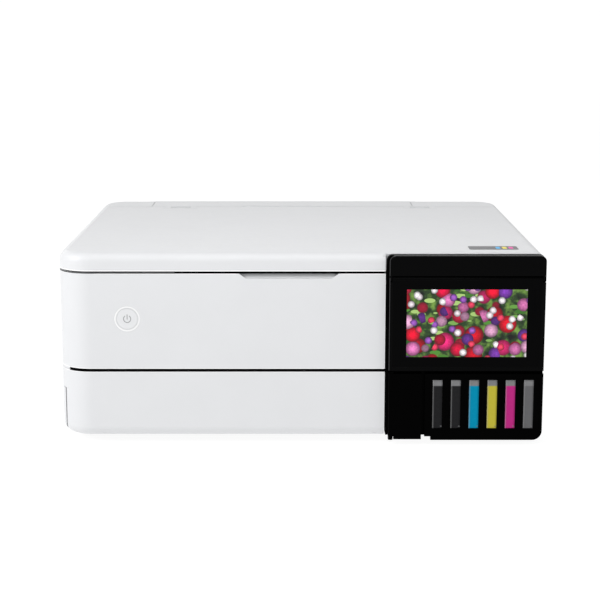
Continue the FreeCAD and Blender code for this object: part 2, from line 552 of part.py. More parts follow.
# sockets in the back wall, used for its openings and for the connectors behind it
SOCKETS = {"inlet": "left + inlet_side", "data": "right - data_side", "lan": "right - lan_side"}


def socket_ends(name, inset):
    """A socket's ends across and up, moved in by an inset."""
    x = SOCKETS[name]
    return ((f"{x} + {inset}", f"{x} + {name}_width - {inset}"),
            (f"{name}_low + {inset}", f"{name}_low + {name}_height - {inset}"))


# rear housing: back wall, deck round the rear feed, hinge ears and connector openings
deck_outer = slab("deck_outer", "xy", ("left", "right"), ("deck_front", "back"), ("case_top", "body_height"))
rounded(deck_outer, "back_radius", dict(x="min", y="max"), dict(x="max", y="max"))
softened(deck_outer, "deck_round", dict(y="min"))
deck_inner = slab("deck_inner", "xy", ("left + skin", "right - skin"), ("deck_front + skin", "back - skin"),
                  ("case_top - past", "body_height - skin"))
rounded(deck_inner, "back_radius - skin", dict(x="min", y="max"), dict(x="max", y="max"))
low_back = ("0", "low_band + past")
rear_zone = fuse(
    "rear_zone",
    box("rear_high", (over_left, over_right), ("rear_front", "back + past"), ("low_band", "case_top + past")),
    box("rear_low", (over_left, over_right), ("floor_back + fit", "back + past"), low_back),
    box("rear_low_l", (over_left, "-lip"), ("rear_front", "back + past"), low_back),
    box("rear_low_r", ("lip", over_right), ("rear_front", "back + past"), low_back),
)
boss_y = ("flap_back - boss_length", "flap_back")
boss_z = ("body_height - boss_height", "body_height - past")
rear_parts = [
    common("rear_wall", case_shell, rear_zone),
    cut("deck_shell", deck_outer, deck_inner),
    box("flap_boss_l", ("flap_left - boss_width", "flap_left - fit"), boss_y, boss_z),
    box("flap_boss_r", ("flap_right + fit", "flap_right + boss_width"), boss_y, boss_z),
]
rear_parts += ear_pairs("base_ear", "(outer_ear)", ("hinge_y", "deck_front + past"), ear_z)
rear_cuts = [
    box("feed_hole", ("flap_left", "flap_right"), ("flap_front", "flap_back"),
        ("body_height - feed_deep", "body_height + past")),
    rod("flap_bores", "x", ("flap_left - flap_bore_reach", "flap_right + flap_bore_reach"),
        "flap_pin + running",
        ("flap_axis_y", "flap_z")),
    rod("hinge_bores", "x", hinge_reach, "pin_radius", hinge_axis),
]
for name in SOCKETS:
    x, z = socket_ends(name, "(-fit)")
    rear_cuts.append(box(f"{name}_hole", x, ("back - socket_cut", "back + past"), z))
node(cut("rear_piece", fuse("rear_all", *rear_parts), *rear_cuts), "rear_housing")
pins = [rod(f"hinge_pin_{i}", "x", about(middle, "outer_ear + ear_width"), "pin_radius", hinge_axis)
        for i, middle in enumerate(("hinge_x", "-hinge_x"))]
node(fuse("pins_all", *pins), "hinge_pins")

# rear feed: flap, chute under it and the sliding edge guide
flap_plate = slab("flap_plate", "xy", ("flap_left + flap_gap", "flap_right - flap_gap"),
                  ("flap_front + flap_gap", "flap_axis_y + skin / 2"), ("body_height - skin", "body_height"))
rounded(flap_plate, "skin / 2 - flat", dict(y="max", z="max"), dict(y="max", z="min"))
flap_rod = rod("flap_rod", "x", ("flap_left - flap_pin_reach", "flap_right + flap_pin_reach"), "flap_pin",
               ("flap_axis_y", "flap_z"))
flap_notch = box("flap_notch", about("flap_mid", "flap_grip"), ("flap_front", "flap_front + flap_grip_deep"),
                 ("body_height - past", "body_height + past"))
node(cut("flap_piece", fuse("flap_all", flap_plate, flap_rod), flap_notch), "rear_feed_cover")
SLOPE = FreeCAD.Rotation(FreeCAD.Vector(1, 0, 0), CHUTE_ANGLE)


def sloped(name, x, length, height):
    """A block on the slope of the rear feed, lengths along the slope and heights off it."""
    block = doc.addObject("Part::Box", name)
    block.Placement = FreeCAD.Placement(FreeCAD.Vector(), SLOPE)
    run = f"({length[0]})"
    rise = f"({height[0]})"
    along = f"cos({CHUTE_ANGLE})"
    up = f"sin({CHUTE_ANGLE})"
    bind(block, Length=f"({x[1]}) - ({x[0]})", Width=f"({length[1]}) - {run}",
         Height=f"({height[1]}) - {rise}",
         Placement__Base__x=x[0], Placement__Base__y=f"back - chute_foot + {run} * {along} - {rise} * {up}",
         Placement__Base__z=f"case_top - chute_foot + {run} * {up} + {rise} * {along}")
    return block


chute_parts = [sloped("chute_plate", ("flap_left + chute_side", "flap_right - chute_side"),
                      ("0", "chute_length"),
                      ("0", "sheet"))]
for side, x in (("l", "flap_left + chute_side"), ("r", "flap_right - chute_side - stay_sheet")):
    chute_parts.append(box(f"chute_stay_{side}", (x, f"{x} + stay_sheet"),
                           ("back - stay_front", "back - skin - stay_gap"),
                           ("case_top - stay_low", "case_top - stay_high")))
node(fuse("chute_piece", *chute_parts), "rear_feed_chute")
guide_x = "flap_left + guide_side"
node(sloped("guide_plate", (guide_x, f"{guide_x} + guide_sheet"), ("guide_low", "guide_high"),
            ("sheet + fit", "guide_rise")), "rear_edge_guide")

# control tower: black housing with walls, top slab and card reader
tower_outer = slab("tower_outer", "xz", ("tower_left", "right"), ("house_bottom", "side_top"),
                   ("house_front", "tower_back"))
rounded(tower_outer, "bottom_round", dict(x="max", z="min"))
tower_inner = slab("tower_inner", "xz", ("tower_left + skin", "right - skin"),
                   ("house_bottom + skin", "side_top + past"), ("house_front + skin", "tower_back + past"))
rounded(tower_inner, "bottom_round / 4", dict(x="max", z="min"))
tower_head = slab("tower_head", "xz", ("tower_left", "right"), ("case_top - head_root", "tower_top"),
                  ("house_front", "house_front + slab"))
rounded(tower_head, "top_round", dict(x="min", z="max"), dict(x="max", z="max"))
scanner_drop = box("scanner_drop", ("tower_left - past", "right - skin"),
                   ("house_front + slab + past", "tower_back + 2 * past"),
                   ("tub_low - tower_relief", "side_top + 2 * past"))
tower_shell = cut("tower_shell", cut("tower_hollow", tower_outer, tower_inner), scanner_drop)
card_side = about("card_x", "card_ear")
card_axis_place = ("card_x", "pivot_y")
card_foot_z = ("tower_bottom", "card_bottom + card_foot")
tower_all = fuse(
    "tower_all", tower_shell, tower_head,
    box("reader", ("reader_left", "reader_right"), ("house_front + past", "house_front + reader_depth"),
        ("reader_low", "reader_high")),
    box("card_ear_top", card_side, ("tower_front + stay_gap", "house_front + past"),
        ("card_top", "card_top + card_lug")),
    box("card_ear_low", card_side, ("pivot_y", "house_front + skin"), card_foot_z),
    rod("card_eye_low", "z", card_foot_z, "card_ear", card_axis_place),
    box("card_tongue", card_side, ("house_front", "house_front + skin"),
        ("tower_bottom", "house_bottom + card_tab")),
)
tower_cuts = [
    box("pod_hole", ("panel_left + pod_margin - past", "right - pod_margin + past"),
        ("house_front - past", "house_front + slab + past"),
        ("panel_bottom + pod_low - pod_clear", "panel_top - pod_high + pod_clear")),
    box("tank_hole", ("bezel_left + tank_hole_side", "right - skin"),
        ("house_front - past", "house_front + skin + flat"),
        ("tower_bottom + tank_hole_low", "lower_top - tank_hole_high")),
    box("card_slot", about("(reader_left + reader_right) / 2", "slot_half"),
        ("house_front - past", "house_front + slot_depth"),
        ("reader_low + slot_low", "reader_high - slot_high")),
    rod("card_bores", "z", ("card_bottom + card_bore_low", "card_top + card_bore_high"), "card_pin + running",
        card_axis_place),
]
node(cut("tower_piece", tower_all, *tower_cuts), "tower_housing")

# fixed strip above the panel, with the two ears of the panel's pivots
pivot_axis = ("pivot_y", "pivot_z")
plate_y = ("tower_front", "panel_back")
strip = slab("strip", "xz", ("panel_left", "right"), ("strip_bottom", "tower_top - fit"), plate_y)
rounded(strip, "strip_round", dict(x="min", z="max"), dict(x="max", z="max"))
strip_parts = [strip]
pivot_bores = []
PIVOTS = (("l", "panel_left", "panel_left + pivot_ear", "panel_left + pivot_blind",
           "panel_left + pivot_ear + past"),
          ("r", "right - pivot_ear", "right", "right - pivot_ear - past", "right - pivot_blind"))
for side, x0, x1, bore0, bore1 in PIVOTS:
    strip_parts.append(box(f"pivot_arm_{side}", (x0, x1), plate_y, ("pivot_z", "strip_bottom + past")))
    strip_parts.append(rod(f"pivot_eye_{side}", "x", (x0, x1), "plate / 2", pivot_axis))
    pivot_bores.append(rod(f"pivot_bore_{side}", "x", (bore0, bore1), "pivot_pin + running", pivot_axis))
node(cut("strip_piece", fuse("strip_all", *strip_parts), *pivot_bores), "panel_top_strip")

# tilting panel: frame with its pod and pins, touch glass and display
glass_x = ("panel_left + glass_margin", "right - glass_margin")
glass_z = ("panel_bottom + glass_margin", "glass_high")
glass_y = ("tower_front", "tower_front + glass_sheet")
display_x = ("display_left", "display_right")
display_z = ("display_low", "display_high")
display_back = "tower_front + display_depth"
panel = slab("panel", "xz", ("panel_left", "right"), ("panel_bottom", "panel_top"), plate_y)
rounded(panel, "half_round", dict(y="min", z="max"), dict(y="max", z="max"))
pocket(panel, "glass_seat_pocket", "xz", glass_x, glass_z, glass_y)
pocket(panel, "display_pocket", "xz", display_x, display_z, ("tower_front", display_back))
pod = box("pod", ("panel_left + pod_margin", "right - pod_margin"),
          ("panel_back - lug_root", "panel_back + pod_depth"),
          ("panel_bottom + pod_low", "panel_top - pod_high"))
corner_z = ("pivot_z - plate / 2 - fit", "panel_top + past")
corner_y = ("tower_front - past", "panel_back + flat")
corner_cuts = [
    box("pivot_gap_l", ("panel_left - past", "panel_left + pivot_ear + fit"), corner_y, corner_z),
    box("pivot_gap_r", ("right - pivot_ear - fit", over_right), corner_y, corner_z),
]
panel_body = cut("panel_body", fuse("panel_all", panel, pod), *corner_cuts)
pivot_pins = [
    rod("pivot_pin_l", "x", ("panel_left + pin_blind", "panel_left + pin_root"), "pivot_pin", pivot_axis),
    rod("pivot_pin_r", "x", ("right - pin_root", "right - pin_blind"), "pivot_pin", pivot_axis),
]
node(fuse("panel_piece", panel_body, *pivot_pins), "panel_frame")
glass_hole = box("glass_hole", display_x, ("tower_front - past", display_back), display_z)
node(cut("glass_piece", box("glass_front_plate", glass_x, glass_y, glass_z), glass_hole), "touch_glass")
node(box("display_piece", display_x, ("tower_front + flat", display_back), display_z), "display")

# memory card cover, turning on its left edge
card = slab("card", "xz", ("panel_left + card_edge", "card_right"), ("card_bottom", "lower_top"), plate_y)
rounded(card, "half_round", dict(y="min", x="min"), dict(y="max", x="min"))
card_relief = box("card_relief", ("panel_left - past", "card_x + card_ear + ear_gap"),
                  ("tower_front - past", "panel_back + past"), ("0", "card_bottom + card_step"))
card_rod = rod("card_rod", "z", ("card_bottom + card_pin_low", "card_top + card_pin_high"), "card_pin",
               card_axis_place)
node(fuse("card_piece", cut("card_plate", card, card_relief), card_rod), "card_cover")

# ink bezel with six windows
bezel = slab("bezel", "xz", ("bezel_left", "right"), ("tower_bottom", "lower_top"), plate_y)
rounded(bezel, "bottom_round", dict(x="max", z="min"))
window = pocket(bezel, "window", "xz", about("window_first", "window_width / 2"),
                ("window_low", "window_high"),
                ("tower_front - past", "panel_back + past"))
window.Type = 1
window.Midplane = True
windows = bezel.newObject("PartDesign::LinearPattern", "windows")
windows.Originals = [window]
windows.Direction = (window.Profile[0], ["H_Axis"])
windows.Occurrences = TANKS
bind(windows, Length=f"{TANKS - 1} * window_pitch")
bezel.Tip = windows
doc.recompute()
bezel_notch = box("bezel_notch", ("bezel_left - past", "bezel_left + bezel_step"),
                  ("tower_front - past", "panel_back + past"), ("0", "tower_bottom + bezel_rise"))
node(cut("bezel_piece", bezel, bezel_notch), "ink_bezel")

# ink tanks behind the windows, and their caps
cap_axis = ("cap_axis_y", "cap_axis_z")
tanks = []
for i in range(TANKS):
    x = f"(window_first + {i} * window_pitch)"
    shell = fuse(
        f"tank_block_{i}",
        box(f"tank_body_{i}", about(x, "tank_half"), ("tank_front", "tank_back"),
            ("tank_bottom", "tank_top")),
        box(f"tank_nose_{i}", about(x, "window_width / 2 - fit"),
            ("tower_front + glass_sheet", "tank_front + past"), ("window_low + fit", "window_high - fit")),
        rod(f"tank_neck_{i}", "z", ("tank_top - past", "neck_top"), "neck_radius", (x, "neck_y")),
        box(f"tank_lug_{i}", about(x, "cap_lug"), about("cap_axis_y", "cap_lug"),
            ("tank_top - past", "cap_axis_z")),
        rod(f"tank_eye_{i}", "x", about(x, "cap_lug"), "cap_lug", cap_axis),
    )
    tanks.append(cut(
        f"tank_{i}", shell,
        box(f"tank_space_{i}", about(x, "tank_half - tank_wall"),
            ("tank_front + tank_wall", "tank_back - tank_wall"),
            ("tank_bottom + tank_wall", "tank_top - tank_wall")),
        rod(f"tank_bore_{i}", "z", ("tank_top - tank_wall - past", "neck_top + past"), "neck_bore",
            (x, "neck_y")),
        rod(f"tank_pivot_{i}", "x", about(x, "cap_lug + past"), "cap_pin + running", cap_axis),
    ))
    inner = "cap_lug + cap_gap"
    arm_y = ("cap_axis_y - cap_lug - cap_gap - cap_root", "cap_axis_y + cap_lug")
    arm_z = ("cap_axis_z - cap_lug", "cap_high")
    node(fuse(
        f"cap_{i}",
        box(f"cap_lever_{i}", about(x, "cap_half"), ("neck_y - cap_reach", "cap_axis_y - cap_lug - cap_gap"),
            ("cap_low", "cap_high")),
        rod(f"cap_plug_{i}", "z", ("neck_top - plug_deep", "neck_top + past"), "plug_radius", (x, "neck_y")),
        box(f"cap_arm_a_{i}", (f"{x} + {inner}", f"{x} + {inner} + cap_arm"), arm_y, arm_z),
        box(f"cap_arm_b_{i}", (f"{x} - ({inner}) - cap_arm", f"{x} - ({inner})"), arm_y, arm_z),
        rod(f"cap_rod_{i}", "x", about(x, f"{inner} + cap_root"), "cap_pin", cap_axis),
    ), f"tank_cap_{i + 1}")
node(fuse("tanks_all", *tanks), "ink_tanks")


# paper: cassettes, output tray and its extension
def cassette(name, label, back_edge, low, high):
    """An open box for sheets, with a finger notch in its front wall."""
    outer = box(f"{name}_outer", ("cassette_left", "cassette_right"), ("cassette_front", back_edge),
                (low, high))
    inner = box(f"{name}_inner", ("cassette_left + cassette_wall", "cassette_right - cassette_wall"),
                ("cassette_front + cassette_nose", f"{back_edge} - cassette_wall"),
                (f"{low} + cassette_floor", f"{high} + past"))
    grip = box(f"{name}_grip", about("cassette_mid", "cassette_grip"),
               ("cassette_front - past", "cassette_front + cassette_nose + past"),
               (f"{high} - cassette_grip_deep", f"{high} + past"))
    return node(cut(f"{name}_piece", outer, inner, grip), label)


cassette("main", "main_cassette", "main_back", "main_low", "main_top")
cassette("photo", "photo_cassette", "photo_back", "main_top + fit", "photo_top")
tray_block = box("tray_block", ("frame_inner", "frame_outer"), ("cassette_front", "tray_back"),
                 ("tray_low", "tray_high"))
tray_hollow = box("tray_hollow", ("frame_inner + tray_wall", "frame_outer - tray_wall"),
                  ("cassette_front - past", "tray_back + past"),
                  ("tray_low + tray_floor", "tray_high + past"))
node(cut("tray_piece", tray_block, tray_hollow), "output_tray")
ext_plate = box("ext_plate", ("frame_inner + ext_side", "frame_outer - ext_side"),
                ("ext_front", "tray_back - ext_end"),
                ("ext_low", "ext_low + ext_sheet"))
ext_edge = box("ext_edge", about("frame_mid", "ext_stop"), ("ext_front", "ext_front + ext_stop_sheet"),
               ("ext_low", "tray_high - ext_stop_drop"))
node(fuse("ext_piece", ext_plate, ext_edge), "tray_extension")

# main frame: two side plates, the carriage rail, stubs and bores
drive_place = ("pulley_x", "pulley_z")
idle_place = ("-pulley_x", "pulley_z")
pinion_place = ("pinion_y", "pinion_z")
feed_place = ("feed_y", "roller_z")
eject_place = ("eject_y", "roller_z")
pinch_place = ("pinch_y", "pinch_z")
frame_parts = [
    box("rail_web", ("-rail_end", "rail_end"), ("rail_y", "rail_y + skin"), ("rail_low", "rail_high")),
    box("rail_lip", ("-rail_end", "rail_end"), ("belt_front", "rail_y + skin"),
        ("rail_high", "rail_high + sheet")),
    rod("idler_stub", "x", ("frame_left - stub_length", "frame_left + past"), "shaft",
        ("idler_y", "roller_z")),
    rod("pulley_stub", "y", ("belt_front - belt_clear", "rail_y + past"), "pulley_axle", idle_place),
]
for side, x in (("l", "frame_left"), ("r", "frame_right")):
    sheet_x = (x, f"{x} + sheet")
    frame_parts += [
        box(f"plate_low_{side}", sheet_x, ("eject_y - plate_front", "frame_back"),
            ("floor_top", "roller_z + plate_rise")),
        box(f"plate_mid_{side}", sheet_x, ("platen_back + past", "frame_back"),
            ("roller_z + plate_rise - past", "rail_low + 2 * past")),
        box(f"plate_top_{side}", sheet_x, ("rail_y", "frame_back"), ("rail_low + past", "rail_high")),
    ]
frame_ends = ("frame_left - past", "frame_right + sheet + past")
node(cut(
    "frame_piece", fuse("frame_all", *frame_parts),
    rod("feed_bores", "x", frame_ends, "shaft + running", feed_place),
    rod("eject_bores", "x", frame_ends, "shaft + running", eject_place),
    rod("pinch_bores", "x", frame_ends, "pinch_axle + running", pinch_place),
    rod("pinion_bore", "x", ("frame_left - past", "frame_left + sheet + past"), "pinion_hole", pinion_place),
    rod("drive_bore", "y", ("rail_y - past", "rail_y + skin + past"), "drive_hole", drive_place),
), "main_frame")

# carriage, print head, belt and its drive
carriage_top = "rail_high - fit"
carriage_block = box("carriage_block", ("carriage_left", "carriage_right"),
                     ("eject_y - carriage_front", "belt_front - belt_clear"), ("carriage_low", carriage_top))
carriage_well = box("carriage_well", ("carriage_left + carriage_wall", "carriage_right - carriage_wall"),
                    ("eject_y + well_front", "belt_front - well_back"),
                    ("carriage_low + carriage_wall", "rail_high + past"))
carriage_hook = box("carriage_hook", ("carriage_left + hook_inset", "carriage_right - hook_inset"),
                    ("belt_front - past", "rail_y - fit"), ("pulley_z + hook_rise", carriage_top))
node(fuse("carriage_piece", cut("carriage_cup", carriage_block, carriage_well), carriage_hook), "carriage")
node(box("head_piece", ("carriage_left + head_inset", "carriage_right - head_inset"),
         ("eject_y + head_front", "feed_y - head_back"),
         ("roller_z + head_rise", "carriage_low")), "print_head")
belt_y = ("belt_front", "belt_back")


def loop(name, radius):
    """The form inside a belt's outer or inner face, round both pulleys."""
    return fuse(
        name,
        rod(f"{name}_a", "y", belt_y, radius, idle_place),
        rod(f"{name}_b", "y", belt_y, radius, drive_place),
        box(f"{name}_c", ("-pulley_x", "pulley_x"), belt_y, about("pulley_z", radius)),
    )


node(cut("belt_piece", loop("belt_out", "belt_inner + belt_sheet"), loop("belt_in", "belt_inner")),
     "carriage_belt")
wheel_y = ("belt_front + fit", "belt_back - fit")
node(fuse(
    "drive_piece",
    rod("drive_wheel", "y", wheel_y, "pulley_radius", drive_place),
    rod("drive_shaft", "y", ("belt_front + past", "motor_front + drive_length"), "pulley_axle", drive_place),
), "drive_pulley")
node(cut(
    "idle_piece",
    rod("idle_wheel", "y", wheel_y, "pulley_radius", idle_place),
    rod("idle_bore", "y", ("belt_front - past", "belt_back + past"), "pulley_axle + running", idle_place),
), "idler_pulley")
node(cut(
    "motor_piece",
    rod("motor_can", "y", ("motor_front", "motor_front + can_length"), "can_radius", drive_place),
    rod("motor_bore", "y", ("motor_front - past", "motor_front + can_bore"), "pulley_axle + running",
        drive_place),
), "carriage_motor")


# rollers, turned about their own axes
def roller(name, label, place, stations):
    """A turned roller from stations of (from, to, radius) along X."""
    turned = []
    for i, (low, high, radius) in enumerate(stations):
        turned.append(rod(f"{name}_{i}", "x", (low, high), radius, place))
    return node(fuse(f"{name}_piece", *turned), label)


def tyres(count, first, spare, width, radius):
    """Stations of tyres shared out along the frame, the first one set in from its left plate."""
    pitch = f"(frame_span - ({spare})) / {count}"
    starts = [f"frame_left + {first} + {i} * {pitch}" for i in range(count)]
    return [(start, f"{start} + {width}", radius) for start in starts]


shaft_ends = ("gear_right - gear_width - past", "frame_right + sheet + shaft_end")
roller("feed", "feed_roller", feed_place,
       [(*shaft_ends, "shaft"), ("frame_left + tyre_left", "frame_right - tyre_right", "feed_radius")])
roller("eject", "eject_roller", eject_place,
       [(*shaft_ends, "shaft")] + tyres(EJECT_TYRES, "eject_first", "eject_first", "eject_width",
                                        "eject_radius"))
roller("pinch", "pinch_rollers", pinch_place,
       [("frame_left + stay_gap", "frame_right + sheet - stay_gap", "pinch_axle")]
       + tyres(PINCH_TYRES, "pinch_first", "pinch_first + pinch_last", "pinch_width", "pinch_radius"))

# tooth proportions, in modules and degrees
TOOTH_FOOT = 1.2
TOOTH_TIP = 0.75
TOOTH_SHARE = 0.41
PRESSURE_ANGLE = 20


def gear(name, teeth, place, start, hole):
    """A spur gear from a tooth outline; start turns the first tooth from the +Y direction, in degrees."""
    module = num("gear_module")
    width = num("gear_width")
    pitch = module * teeth / 2
    foot = pitch - TOOTH_FOOT * module
    tip = pitch + TOOTH_TIP * module
    outline = []
    for k in range(teeth):
        middle = math.radians(start + FULL_TURN * k / teeth)
        for radius, side in ((foot, -1), (tip, -1), (tip, 1), (foot, 1)):
            lean = (radius - pitch) * math.tan(math.radians(PRESSURE_ANGLE))
            angle = middle + side * (TOOTH_SHARE * math.pi * module / 2 - lean) / radius
            outline.append(FreeCAD.Vector(0, radius * math.cos(angle), radius * math.sin(angle)))
    outline.append(outline[0])
    along = FreeCAD.Vector(1, 0, 0)
    solid = Part.Face(Part.makePolygon(outline)).extrude(along * width)
    if hole:
        solid = solid.cut(Part.makeCylinder(num(hole), 3 * width, -along * width, along))
    wheel = doc.addObject("Part::Feature", name)
    wheel.Shape = solid
    bind(wheel, Placement__Base__x="gear_right - gear_width", Placement__Base__y=place[0],
         Placement__Base__z=place[1])
    return wheel


# the feed gear starts with a tooth towards the idler, and each other gear with a space to match
feed_start = FULL_TURN / 2
feed_step = FULL_TURN / FEED_TEETH
feed_off = (-PINION_ANGLE - feed_start + feed_step / 2) % feed_step - feed_step / 2
pinion_space = FULL_TURN / 2 + FULL_TURN / 2 / PINION_TEETH
pinion_start = pinion_space - PINION_ANGLE + feed_off * FEED_TEETH / PINION_TEETH
node(gear("feed_wheel", FEED_TEETH, feed_place, feed_start, "shaft"), "feed_gear")
node(gear("idler_wheel", IDLER_TEETH, ("idler_y", "roller_z"), FULL_TURN / 2 / IDLER_TEETH,
          "shaft + running"),
     "idler_gear")
node(gear("eject_wheel", EJECT_TEETH, eject_place, FULL_TURN / 2 / EJECT_TEETH, "shaft"), "eject_gear")
pinion_wheel = gear("pinion_wheel", PINION_TEETH, pinion_place, pinion_start, None)
can_left = "frame_left + sheet"
pinion_shaft = rod("pinion_shaft", "x", ("gear_right - past", f"{can_left} + pinion_length"), "pinion_axle",
                   pinion_place)
node(fuse("pinion_piece", pinion_wheel, pinion_shaft), "motor_pinion")
node(cut(
    "feed_motor_piece",
    rod("feed_can", "x", (can_left, f"{can_left} + feed_can_length"), "feed_can_radius", pinion_place),
    rod("feed_bore", "x", ("frame_left", f"{can_left} + feed_can_bore"), "pinion_axle + running",
        pinion_place),
), "feed_motor")

platen_base = box("platen_base", ("frame_inner", "frame_outer"), ("eject_y + platen_front", "platen_back"),
                  ("roller_z + platen_low", "roller_z + platen_top"))
rib_y = ("eject_y + platen_front + past", "platen_back - past")
rib_z = ("roller_z + platen_top - past", "roller_z + rib_rise")
platen_ribs = [box(f"platen_rib_{i}", (low, high), rib_y, rib_z) for i, (low, high, _) in
               enumerate(tyres(PLATEN_RIBS, "rib_first", "rib_first + rib_last", "rib_width", "0"))]
node(fuse("platen_piece", platen_base, *platen_ribs), "platen")

# waste ink and capping
waste = box("waste_block", ("carriage_left + waste_inset", "carriage_right - waste_inset"),
            ("eject_y + well_front", "frame_back"), ("board_low", "waste_top"))
waste_notch = box("waste_notch", about("carriage_mid", "waste_grip"),
                  ("frame_back - waste_grip_deep", "frame_back + past"),
                  ("waste_top - waste_grip_low", "waste_top - waste_grip_deep"))
node(cut("waste_piece", waste, waste_notch), "maintenance_box")
capping = box("capping_block", ("carriage_left + capping_inset", "carriage_right - capping_inset"),
              ("eject_y + capping_front", "feed_y - capping_back"),
              ("waste_top + fit", "roller_z + plate_rise"))
cup = box("capping_cup",
          ("carriage_left + capping_inset + cup_wall", "carriage_right - capping_inset - cup_wall"),
          ("eject_y + capping_front + cup_front", "feed_y - capping_back - cup_wall"),
          ("roller_z + plate_rise - cup_deep", "roller_z + plate_rise + past"))
node(cut("capping_piece", capping, cup), "capping_station")

# electrics
board_front = "back - board_back - board_sheet"
chip_y = (f"{board_front} - chip_height", f"{board_front} + lug_root")
board_parts = [
    box("board", ("board_x", "right - board_right"), (board_front, "back - board_back"),
        ("board_low", "board_top")),
    box("main_chip", about("board_x + main_chip_in", "main_chip_half"), chip_y,
        about("board_top - chip_drop", "main_chip_half")),
    box("side_chip", about("board_x + side_chip_in", "side_chip_half"), chip_y,
        about("board_top - side_chip_drop", "side_chip_half")),
    box("driver_chip", about("board_x + driver_in", "main_chip_half"), chip_y,
        about("board_low + driver_rise", "driver_half")),
]
node(fuse("board_piece", *board_parts), "main_board")
node(box("supply_piece", ("left + supply_side", "frame_left - supply_gap"),
         ("rail_y + supply_front", "back - supply_back"),
         ("board_low", "roller_z - supply_drop")), "power_supply")
sockets = []
for name in SOCKETS:
    x, z = socket_ends(name, "0")
    inner_x, inner_z = socket_ends(name, "socket_wall")
    block = box(f"{name}_block", x, (f"back - {name}_deep", "back - socket_inset"), z)
    space = box(f"{name}_space", inner_x, ("back - socket_space", "back"), inner_z)
    sockets.append(cut(f"{name}_socket", block, space))
node(fuse("sockets_all", *sockets), "rear_connectors")

# scanner: tub with the sensor rail and hinge ears, top frame, glass and sensor bar
tub_x = ("-tub_half", "tub_half")
tub = slab("tub", "xy", tub_x, ("tub_front", "tub_back"), ("tub_low", "tub_top"))
rounded(tub, "rear_radius", dict(x="min", y="min"))
pocket(tub, "tub_hollow", "xy", ("-tub_half + skin", "tub_half - skin"),
       ("tub_front + skin", "tub_back - skin"),
       ("tub_low + skin", "tub_top"))
ledge_y = ("tub_back - ledge_back", "tub_back - past")
ledge_z = ("tub_low + past", "tub_top - glass_plate")
tub_parts = [
    tub,
    box("sensor_rail", ("-tub_half + past", "tub_half - past"), ("-bar_rail", "bar_rail"),
        ("tub_low + past", "tub_low + bar_rail_top")),
    box("glass_ledge_l", ("-tub_half + past", "glass_left - ledge_gap"), ledge_y, ledge_z),
    box("glass_ledge_r", ("glass_right + ledge_gap", "tub_half - past"), ledge_y, ledge_z),
]
tub_parts += ear_pairs("tub_ear", "(knuckle_half + ear_gap)", ("tub_back - flat", "hinge_y + ear_radius"),
                       ("tub_low + ear_root", "hinge_z"))
tub_bores = rod("tub_bores", "x", hinge_reach, "pin_radius + running", hinge_axis)
node(cut("tub_piece", fuse("tub_all", *tub_parts), tub_bores), "scanner_tub")
frame_top = slab("frame_top", "xy", tub_x, ("tub_front", "tub_back - frame_end"),
                 ("tub_top", "tub_top + frame_sheet"))
rounded(frame_top, "rear_radius", dict(x="min", y="min"))
pocket(frame_top, "glass_opening", "xy", ("glass_left", "glass_right"), ("glass_front", "glass_back"),
       ("tub_top - past", "tub_top + frame_sheet"))
node(frame_top, "scanner_frame")
node(box("scan_plate", ("glass_left - glass_seat", "glass_right + glass_seat"),
         ("glass_front - glass_seat", "glass_back + glass_rear"),
         ("tub_top - glass_plate", "tub_top")), "scanner_glass")
bar_left = "-tub_half + bar_side"
node(box("bar_block", (bar_left, f"{bar_left} + bar_width"),
         ("glass_front - bar_front", "glass_back - bar_back"),
         ("tub_low + bar_rail_top + fit", "tub_top - bar_drop")), "sensor_bar")


# lid: rounded shell, liner and mat
def lid_form(name, inset, low, high, edge):
    """The lid's outline, moved in by an inset, with its front and side edges rounded over."""
    body = slab(name, "xy", (f"left + {inset}", f"right - {inset}"),
                (f"white_front + {inset}", f"lid_back - {inset}"), (low, high))
    rounded(body, f"corner_radius - {inset}", dict(x="min", y="min"))
    return softened(body, edge, dict(y="max"))


lid_outer = lid_form("lid_outer", "0", "lid_bottom", "body_height", "lid_round")
lid_inner = lid_form("lid_inner", "skin", "lid_bottom - past", "body_height - skin", "lid_round - skin")
through_lid = ("lid_bottom - 2 * past", "body_height + past")
tower_space = box("tower_space", ("white_right", over_right), ("white_front - past", "lid_right_front"),
                  through_lid)
tower_wall = box("tower_wall", ("white_right - skin", "right - skin"),
                 ("inner_front - past", "lid_right_front + skin"),
                 ("lid_bottom", "body_height - skin + lug_root"))
lid_parts = [fuse("lid_shell", cut("lid_hollow", lid_outer, lid_inner), tower_wall)]
lid_cuts = [tower_space]
lid_ears = []
for side, middle in (("l", "-hinge_x"), ("r", "hinge_x")):
    lid_parts.append(box(f"lid_pad_{side}", about(middle, "hinge_notch + skin"),
                         ("hinge_y - notch_deep - skin", "lid_back - lug_root"),
                         ("lid_bottom", "body_height - past")))
    lid_cuts.append(box(f"lid_notch_{side}", about(middle, "hinge_notch"),
                        ("hinge_y - notch_deep", "lid_back + past"),
                        through_lid))
    lid_ears += ear(f"lid_ear_{side}", about(middle, "knuckle_half"),
                    ("hinge_y - notch_deep - lug_root", "hinge_y"), ear_z)
lid_main = cut("lid_main", fuse("lid_all", *lid_parts), *lid_cuts)
lid_bores = rod("lid_bores", "x", hinge_reach, "pin_radius + running", hinge_axis)
node(fuse("lid_piece", lid_main, cut("lid_ears_bored", fuse("lid_ears_all", *lid_ears), lid_bores)),
     "lid_cover")
liner = slab("liner", "xy", ("left + skin + fit", "right - skin - fit"),
             ("lid_right_front + skin + fit", "hinge_y - liner_back"),
             ("lid_bottom", "lid_bottom + liner_sheet"))
rounded(liner, "corner_radius - skin - glass_plate", dict(x="min", y="min"))
node(liner, "lid_liner")
node(box("mat_piece", ("glass_left + mat_inset", "glass_right - mat_inset"),
         ("glass_front + mat_inset", "glass_back - mat_inset"),
         ("tub_top + mat_gap", "lid_bottom")), "document_mat")

doc.recompute()

